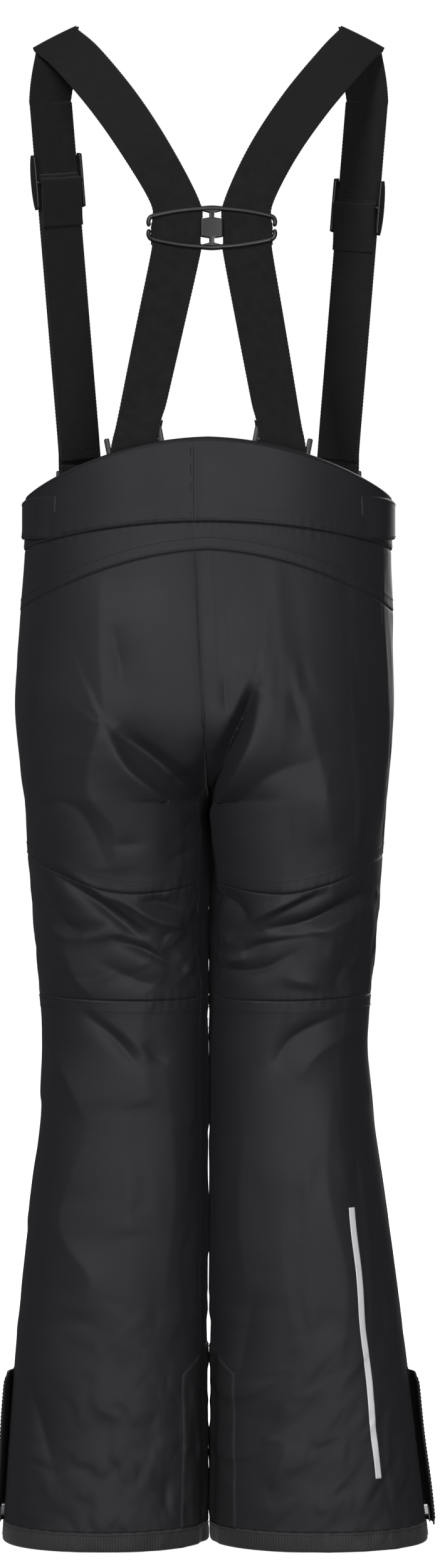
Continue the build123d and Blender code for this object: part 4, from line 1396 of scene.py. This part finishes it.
class TROUSERS_OT_flaps(bpy.types.Operator):
    """Build the storm flaps over the ankle zips and the tabs at the sides of the waist"""

    bl_idname = "trousers.flaps"
    bl_label = "Ankle flaps and waist tabs"

    def execute(self, context):
        for side, hand in SIDES:
            self.flap(side, hand)
            self.tab(side, hand)
            self.pad(side, hand)
        return {"FINISHED"}

    def flap(self, side, hand):
        """A curved flap, sewn along its front edge, a little wavy at its free edge."""
        place = ankle_place(side)
        arc = arc_through((-19.1, -0.8), (-7.6, 5.7), (10, 7.2), 26)
        low, high = FLAP_ENDS
        y = np.linspace(low, high, 70)[:, None]
        free = np.linspace(0, 1, 26) ** 1.5
        wave = 0.45 * free * np.sin(y / 15.0 + side)
        bottom = 1 - ease(y, low, low + 6)
        close = 1.6 * ease(y, high - 10, high) * ease(arc[:, 1], 0, 5)
        local = np.stack(np.broadcast_arrays(
            side * (arc[:, 0] + 0.5 * free * np.sin(y / 21.0)), y,
            arc[:, 1] - 0.2 + wave - 0.8 * bottom * free - close), -1)
        points = place.at(local)
        node = f"vent_flap_{hand}"
        piece = sheet_object(f"{node}_cloth", points, SHELL, side < 0)
        cut(piece, points, 0.0012, "shell_cloth", node, body=node)
        normal = sheet_normals(points) * side
        lines = [(points[2:-2, k] + normal[2:-2, k] * SEWN, normal[2:-2, k]) for k in (22, 16)]
        stitches(f"{node}_stitching", lines, node)

    def around(self, side, y, z, offset):
        """A point at the side of the trunk, that far off its oval, by its depth and height."""
        middle, half, front, back, square = trunk_measures(z)
        deep = np.where(y < 0, front, back) + offset
        wide = half + offset
        x = middle + side * wide * (1 - np.abs(y / deep) ** square) ** (1 / square)
        return np.stack(np.broadcast_arrays(x, y, z), -1)

    def tab(self, side, hand):
        """The hook-and-loop tab: sewn at its rear edge, its front corners cut off."""
        rear, front = TAB_ENDS
        y = np.linspace(rear, front, 66)
        low = np.interp(y, [-40, -36, 60], [834, 829.3, 823.3])
        high = np.interp(y, [-40, -36, 60], [851, 855.7, 859.7])
        share = np.linspace(0, 1, 26)[:, None]
        z = low + (high - low) * share
        edge = np.minimum(np.minimum(z - low, high - z), y - front + 0 * z)
        stand = 3.6 - rounded_edge(np.maximum(edge, 0), 1.3) + 0.18 * np.sin(y / 11.0)
        stand = stand - 2.5 * (1 - ease(rear - y, 0, 14))
        points = self.around(side, y + 0 * z, z, stand)
        node = f"waist_tab_{hand}"
        piece = sheet_object(f"{node}_cloth", points, SHELL, side > 0)
        cut(piece, points, TAB_CLOTH, "shell_cloth", node, body=node)
        out = -sheet_normals(points) * side
        edges = ((2, slice(9, -3)), (-3, slice(9, -3)), (slice(2, -2), -4))
        lines = [(points[edge] + out[edge] * SEWN, out[edge]) for edge in edges]
        stitches(f"{node}_stitching", lines, node)

    def pad(self, side, hand):
        """The loop pad under the tab."""
        rear, front, low, high = LOOP_PAD
        y, z = np.meshgrid(np.linspace(rear, front, 50), np.linspace(low, high, 20))
        edge = np.minimum(np.minimum(z - low, high - z), np.minimum(y - front, rear - y))
        nap = 0.12 * ripple(y, z, 31, 4.0, 1.0)
        points = self.around(side, y, z, 1.25 - rounded_edge(edge, 0.8) + nap)
        piece = sheet_object(f"tab_loop_pad_{hand}", points, FUZZ, side > 0)
        thicken(piece, 0.0009)
        settle(piece, "trousers", "fuzzy_pad", *(["tab_loop_pads"] if side > 0 else []))


class TROUSERS_OT_strip(bpy.types.Operator):
    """Lay the reflective strip on the back of the right leg"""

    bl_idname = "trousers.strip"
    bl_label = "Reflective strip"

    def execute(self, context):
        top, bottom = STRIP_ENDS
        heights = np.linspace(top, bottom, 150)[:, None]
        centre = -116 - 22 * (top - heights) / (top - bottom)
        sway = 0.9 * np.sin(heights / 13.0) + 0.7 * np.sin(heights / 31.0 + 1)
        x = centre + sway * 0.55 + np.linspace(2.5, -2.5, 7)
        turns = np.linspace(0.02, np.pi / 2, 900)
        rows = [np.interp(row, form(-1, turns, h)[:, 0], turns)
                for row, h in zip(x, heights[:, 0])]
        points, _ = cloth_at(-1, np.array(rows), heights + 0 * x, 0.22)
        strip = sheet_object("reflective_strip_film", points, FILM)
        thicken(strip, 0.00035, 1.0)
        settle(strip, "trousers", "reflective_film", "reflective_strip")
        return {"FINISHED"}


# Braces -----------------------------------------------------------------------------------------
def strap_points(middles, across, width):
    """A flat strap through stations: middles and across directions on smooth lines, evenly
    spaced, 25 points wide, cupped a little and drawn in between its edge loops."""
    line, turns = smooth_line(middles, 900), smooth_line(across, 900)
    run = run_along(line)
    at = np.linspace(0, run[-1], int(run[-1] / 1.5))
    line, turns = values_at(at, run, line), unit(values_at(at, run, turns))
    out = unit(np.cross(turns, unit(np.gradient(line, axis=0))))
    share = np.linspace(-1, 1, 25)
    scallop = 0.16 * np.sin(at * 2 * np.pi / 3.1)[:, None] * np.abs(share) ** 12
    offset = share * (width / 2 + scallop)
    return (line[:, None] + offset[..., None] * turns[:, None]
            + (0.5 * (share**2 - 0.4))[None, :, None] * out[:, None])


def over_shoulder(side):
    """Middles and across directions from the keeper, over the shoulder to the front hook."""
    tilt = np.radians(FOLD_TILT)
    fold = np.array([np.cos(tilt), 0, -side * np.sin(tilt)])
    lift = np.array([side * np.sin(tilt), 0, np.cos(tilt)])
    at_plate = PLATE + (side * STRAP_APART, 0, 0)
    middles = [at_plate - (0, 0, STRAP_JOINT), at_plate, at_plate + (0, 0, 19)]
    across = [LEVEL] * 3
    for x, y, z, lean in UP_THE_BACK:
        middles.append(np.array([side * x + PLATE[0] / 2, y, z]))
        across.append(np.array([np.cos(np.radians(lean)), 0, -side * np.sin(np.radians(lean))]))
    centre = SHOULDER * (side, 1, 1)
    for turn in range(0, 181, 30):
        back, up = np.cos(np.radians(turn)), np.sin(np.radians(turn))
        middles.append(centre + (0, FOLD_RADIUS * back, 0) + lift * FOLD_RADIUS * up)
        across.append(fold)
    place = front_strap_place(side)
    middles.append(FRONT_TOP * (side, 1, 1))
    across.append(place.x)
    for y in (316, 290, 200, 100, 34):
        middles.append(place.at((0, y, 0)))
        across.append(place.x)
    for y, z in bar_route():
        middles.append(place.at((0, y, z)))
        across.append(hook_place(side, "front").x)
    return middles, across


def bar_route():
    """Down past a hook's bar, round under it and up behind: (along, out) places."""
    around = BAR_RADIUS + 0.3 + 0.8
    route = [(18, 1.5), (9, around), (2, around)]
    for turn in (45, 90, 135):
        angle = np.radians(turn)
        route.append((-around * np.sin(angle), around * np.cos(angle)))
    return route + [(1, -around), (9, -around), (15.5, -2.2)]


class TROUSERS_OT_braces(bpy.types.Operator):
    """Lay the elastic braces: over the shoulders, down to the back hooks, and the tails"""

    bl_idname = "trousers.braces"
    bl_label = "Elastic braces"

    def execute(self, context):
        width = sizes().strap_width / MM
        for side, hand in SIDES:
            self.strap(f"strap_{hand}", strap_points(*over_shoulder(side), width),
                       "back_plate", (0, -0.010, 0), (0, 0.080, 0))
            self.strap(f"strap_lower_{hand}", strap_points(*self.lower_route(side), width),
                       "back_plate", (0, 0.08, 0.925), (0, 0.08, 1.045))
            place, reach = front_strap_place(side), ADJUSTER_PLACES[hand]
            start, end = (tuple(place.at((0, y, TAIL_LAYER)) * MM) for y in (24, reach - 44))
            self.strap(f"strap_tail_{hand}", strap_points(*self.tail_route(place, reach), 38.0),
                       f"adjuster_{hand}", start, end)
        return {"FINISHED"}

    def strap(self, node, points, other, start, end):
        """One length of elastic between the trousers and another body."""
        piece = sheet_object(f"{node}_elastic", points, ELASTIC)
        thicken(piece, sizes().strap_cloth, 0.0)
        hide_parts(node)
        for made in (piece, self.sewing(node, points)):
            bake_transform(made)

    def sewing(self, node, points):
        """Two rows of stitches across the strap, above the end that goes round its bar."""
        normal = sheet_normals(points)
        off = sizes().strap_cloth / MM / 2 + 0.1
        rows = (6, 10) if "tail" in node else (-26, -22)
        lines = [(points[row, 1:-1] + way * normal[row, 1:-1] * off, way * normal[row, 1:-1])
                 for row in rows for way in (1, -1)]
        return stitches(f"{node}_stitching", lines)

    def lower_route(self, side):
        place = hook_place(side, "back")
        at_plate = PLATE + (side * STRAP_APART, 0, 0)
        bend = at_plate - (0, 0, 20)
        upward, whole = unit(bend - place.origin), np.linalg.norm(bend - place.origin)
        end_across = place.x * np.sign(place.x[0])
        middles = [at_plate - (0, 0, STRAP_JOINT), bend]
        across = [LEVEL] * 2
        out = unit(np.cross(end_across, upward))
        out = out * np.sign(out @ place.z)
        for y in (whole * 0.62, whole * 0.35, 30):
            share = y / whole
            middles.append(place.origin + upward * y)
            across.append(unit(LEVEL * share + end_across * (1 - share)))
        for y, z in bar_route():
            middles.append(place.origin + upward * y + out * z)
            across.append(end_across)
        return middles, across

    def tail_route(self, place, reach):
        """Up from the hook, round the adjuster's rear bar and back down a little."""
        radius = TAIL_LAYER - ADJUSTER_BAR
        route = [(20.6, TAIL_LAYER), (reach * 0.35, TAIL_LAYER), (reach * 0.7, TAIL_LAYER),
                 (reach, TAIL_LAYER)]
        for turn in (45, 90, 135, 180):
            angle = np.radians(turn)
            route.append((reach + radius * np.sin(angle), ADJUSTER_BAR + radius * np.cos(angle)))
        route += [(reach - 14, ADJUSTER_BAR - 1.2), (reach - 29, TAIL_LAYER - 2.1),
                  (reach - 37, TAIL_LAYER - 1.9)]
        return ([place.at((0, y, z)) for y, z in route], [place.x] * len(route))


def spaced(first, last, count):
    return np.linspace(np.array(first, float), np.array(last, float), count)


class TROUSERS_OT_keeper(bpy.types.Operator):
    """Build the lens-shaped keeper that holds the crossing braces together behind"""

    bl_idname = "trousers.keeper"
    bl_label = "Back keeper"

    def execute(self, context):
        out = np.array([0, 1.0, 0])
        parts = []
        for up in (1, -1):
            route = self.bar_line(up)
            for depth, thick in ((2.75, 2.9), (-2.4, 2.0)):
                path = PLATE + np.stack([route[:, 0], np.full(len(route), depth), route[:, 1]], -1)
                parts.append(bar("keeper_bar", path, thick, 3.5, out, PLASTIC))
            for end in (1, -1):
                hook = smooth_line([(end * 46.4, up * 9.6), (end * 49.6, up * 8.2),
                                    (end * 51.0, up * 5.0), (end * 50.3, up * 1.3)], 16)
                path = PLATE + np.stack([hook[:, 0], np.full(16, 0.4), hook[:, 1]], -1)
                parts.append(bar("keeper_end", path, 7.2, 3.6, out, PLASTIC))
        parts.append(self.web())
        keeper = join("back_plate_moulding", parts)
        settle(keeper, "back_plate", "black_plastic", "back_plate")
        return {"FINISHED"}

    def bar_line(self, up):
        """A shallow arc from end to end, peaked a little over the web."""
        x = np.linspace(-KEEPER_HALF, KEEPER_HALF, 61)
        z = 9.2 + 6.2 * (1 - (x / KEEPER_HALF) ** 2) + 0.5 * np.exp(-(x / 6.0) ** 2)
        return np.stack([x, up * z], -1)

    def web(self):
        """The waisted web: wide in the middle, with narrow necks to the bars."""
        z = np.linspace(-15.0, 15.0, 121)
        neck = ease(np.abs(z), 6.8, 8.2) - 0.75 * ease(np.abs(z), 12.0, 13.8)
        half = 9.3 - 7.2 * neck
        turn = round_turns(32)
        wide, deep = (signed_power(wave, 2 / 7) for wave in (np.cos(turn), np.sin(turn)))
        thin = 1 - 0.12 * ease(np.abs(z), 8, 15)
        points = np.stack([half[:, None] * wide, 0.4 + 3.6 * thin[:, None] * deep,
                           z[:, None] + 0 * turn], -1) + PLATE
        return tube("keeper_web", points, PLASTIC, flip=False)


class TROUSERS_OT_hooks(bpy.types.Operator):
    """Build the moulded hooks and the webbing loops that they hang in"""

    bl_idname = "trousers.hooks"
    bl_label = "Hooks and loops"

    def execute(self, context):
        for side, hand in SIDES:
            for face in ("front", "back"):
                self.hook(f"{face}_hook_{hand}", hook_place(side, face))
        self.loops()
        return {"FINISHED"}

    def hook(self, node, place):
        """Two arms, the strap's bar, a brace bar and an open bottom bar."""
        parts = []
        for x in (-22.75, 22.75):
            path = place.at(spaced((x, 10, 0), (x, -43, 0), 22))
            parts.append(bar("arm", path, 4.5, 3.0, place.x, HOOK_AND_SHEEN, squareness=2.6))
        across_bars = ((-22, 22, 0, 3.0), (-22, 22, -11, 3.0), (-22, -5, -40, 4.0),
                       (5, 22, -40, 4.0))
        for first, last, y, thick in across_bars:
            path = place.at(spaced((first, y, 0), (last, y, 0), 12))
            parts.append(bar("cross", path, thick, thick, place.y, HOOK_AND_SHEEN, squareness=2.2))
        settle(join(f"{node}_moulding", parts), node, "hook_plastic", node)

    def loops(self):
        """Flat webbing round each hook's bottom bar, its tails sewn inside the waistband."""
        parts = []
        for side, _ in SIDES:
            for face in ("front", "back"):
                place = hook_place(side, face)
                route = [(-57, 4.4), (-50, 4.4), (-46.6, 4.2), (-45.9, 0), (-46.2, -5),
                         (-44.4, -8.4), (-40, -8.8), (-35.6, -8.4), (-33.9, -5), (-33.9, 0),
                         (-34.4, 3.6), (-37, 5.0), (-43, 5.1), (-57, 5.6)]
                line = smooth_line([(0, y, z) for y, z in route], 70)
                points = swept(place.at(line), np.stack([np.linspace(-17, 17, 18),
                                                         np.zeros(18)], -1), place.x)
                parts.append(sheet_object("loop", points, WEBBING))
        loops = join("brace_loops_webbing", parts)
        thicken(loops, 0.0011, 0.0)
        settle(loops, "trousers", "webbing", "brace_loops")


class TROUSERS_OT_adjusters(bpy.types.Operator):
    """Build the ladder adjusters on the front straps"""

    bl_idname = "trousers.adjusters"
    bl_label = "Adjusters"

    def execute(self, context):
        for side, hand in SIDES:
            place, reach = front_strap_place(side), ADJUSTER_PLACES[hand]
            parts = []
            for x in (-22.2, 22.2):
                y = np.linspace(-22, 22, 28)
                bulge = np.sqrt(np.clip(1 - (y / 23.5) ** 2, 0, 1))
                path = place.at(np.stack([np.full(28, x), reach + y, -3.2 + 2.6 * bulge], -1))
                profile = np.stack([oval_profile(3.2, 3.0 + 6.4 * b, 18) for b in bulge])
                parts.append(weld(tube("cheek", swept(path, profile, place.x), PLASTIC, ends=True)))
            for y, z, wide, thick in ((17.5, 2.4, 6.0, 2.6), (0, 3.2, 6.5, 2.4),
                                      (-17.5, 2.4, 6.0, 2.6),
                                      (0, ADJUSTER_BAR, 3.0, 3.0)):
                path = place.at(spaced((-22.5, reach + y, z), (22.5, reach + y, z), 14))
                parts.append(bar("rung", path, wide, thick, place.y, PLASTIC, squareness=2.6))
            settle(join(f"adjuster_{hand}_moulding", parts), f"adjuster_{hand}",
                   "black_plastic", f"adjuster_{hand}")
        return {"FINISHED"}


class TROUSERS_OT_fittings(bpy.types.Operator):
    """Give the zip sliders and pulls their metal and moulded finishes"""

    bl_idname = "trousers.fittings"
    bl_label = "Sliders and pulls"

    def execute(self, context):
        for name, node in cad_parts.items():
            if "slider" in name or "pull" in name:
                finish = finish_of(METAL if "slider" in name else PLASTIC)
                node.data.materials.clear()
                node.data.materials.append(finish)
        return {"FINISHED"}


# Studio -----------------------------------------------------------------------------------------
WHITE, SOFT_WHITE = (1, 1, 1, 1), (0.95, 0.97, 1.0, 1)
# light: where it stands, what it looks at, its width, height and power
LIGHTS = {
    "key box": ((2.6, 5.6, 3.7), (0, 0, 0.5), 1.5, 1.8, 182),
    "fill box": ((-1.1, 5.0, 0.35), (0, 0, 0.3), 1.8, 2.2, 140),
    "box in front": ((-0.9, -3.0, 1.7), (0, 0, 0.6), 1.6, 1.8, 60),
}


class TROUSERS_OT_studio(bpy.types.Operator):
    """Set the camera behind the trousers, soft lights, a pale floor and a white surround"""

    bl_idname = "trousers.studio"
    bl_label = "Studio"

    def execute(self, context):
        self.camera()
        self.floor()
        self.surround()
        self.lights()
        return {"FINISHED"}

    def camera(self):
        lens = bpy.data.cameras.new("camera")
        lens.sensor_width = 36.0
        lens.lens = 36.0 * sizes().camera_distance / sizes().view_height
        lens.clip_end = 60.0
        camera = place_object("camera", lens)
        camera.location = (-0.0094, sizes().camera_distance, 0.6245)
        camera.rotation_euler = (np.pi / 2, 0, np.pi)
        bpy.context.scene.camera = camera

    def floor(self):
        """A wide round floor, brightened towards the camera so that it stays pale."""
        radius = np.array([0.001, 0.4, 0.8, 1.5, 3, 8, 30])[:, None] / MM
        turn = round_turns(96)
        points = np.stack(np.broadcast_arrays(
            radius * np.cos(turn), radius * np.sin(turn), -1.5), -1)
        floor = tube("studio_floor", points, FLOOR, flip=False)
        floor.visible_diffuse = floor.visible_glossy = False

    def surround(self):
        """White to the camera, and a dimmer light on the trousers."""
        world = bpy.data.worlds.new("surround")
        bpy.context.scene.world = world
        world.use_nodes = True
        world.node_tree.nodes.clear()
        nodes = Nodes(world.node_tree)
        seen, soft = (nodes.node("Background", {"Color": colour, "Strength": strength})[0]
                      for colour, strength in ((WHITE, 1.0), (SOFT_WHITE, 0.10)))
        camera_ray = nodes.node("LightPath")["Is Camera Ray"]
        mix = nodes.node("MixShader", {0: camera_ray, 1: soft, 2: seen})[0]
        nodes.node("OutputWorld", {0: mix})
        bpy.context.scene.view_settings.view_transform = "Standard"

    def lights(self):
        """A high key box, a weaker fill beside the camera, and one box for the front."""
        for name, (place, aim, wide, high, power) in LIGHTS.items():
            light = bpy.data.lights.new(name, "AREA")
            light.shape = "RECTANGLE"
            light.size, light.size_y, light.energy = wide, high, power
            lamp = place_object(name, light)
            lamp.location = place
            heading = Vector(aim) - Vector(place)
            lamp.rotation_euler = heading.to_track_quat("-Z", "Y").to_euler()


PIECES = (
    TROUSERS_OT_studio, TROUSERS_OT_panels, TROUSERS_OT_waistband, TROUSERS_OT_hems,
    TROUSERS_OT_stitching, TROUSERS_OT_lining, TROUSERS_OT_zips, TROUSERS_OT_flaps,
    TROUSERS_OT_strip, TROUSERS_OT_braces, TROUSERS_OT_keeper, TROUSERS_OT_hooks,
    TROUSERS_OT_adjusters, TROUSERS_OT_fittings,
)


class TROUSERS_PT_sidebar(bpy.types.Panel):
    """Pieces, sizes and colours of the trousers"""

    bl_idname = "TROUSERS_PT_sidebar"
    bl_label = "Ski Trousers"
    bl_space_type = "VIEW_3D"
    bl_region_type = "UI"
    bl_category = "Trousers"

    def draw(self, context):
        for piece in PIECES:
            self.layout.operator(piece.bl_idname)
        for group in (context.scene.trouser_sizes, context.scene.trouser_colours):
            box = self.layout.box()
            for name in group.__annotations__:
                box.prop(group, name)


CLASSES = (TrouserSizes, TrouserColours, *PIECES, TROUSERS_PT_sidebar)


def register():
    for made in CLASSES:
        bpy.utils.register_class(made)
    bpy.types.Scene.trouser_sizes = bpy.props.PointerProperty(type=TrouserSizes)
    bpy.types.Scene.trouser_colours = bpy.props.PointerProperty(type=TrouserColours)


def unregister():
    del bpy.types.Scene.trouser_colours
    del bpy.types.Scene.trouser_sizes
    for made in reversed(CLASSES):
        bpy.utils.unregister_class(made)


def main():
    register()
    for piece in PIECES:
        getattr(bpy.ops.trousers, piece.bl_idname.split(".")[1])()


if __name__ == "__main__":
    main()
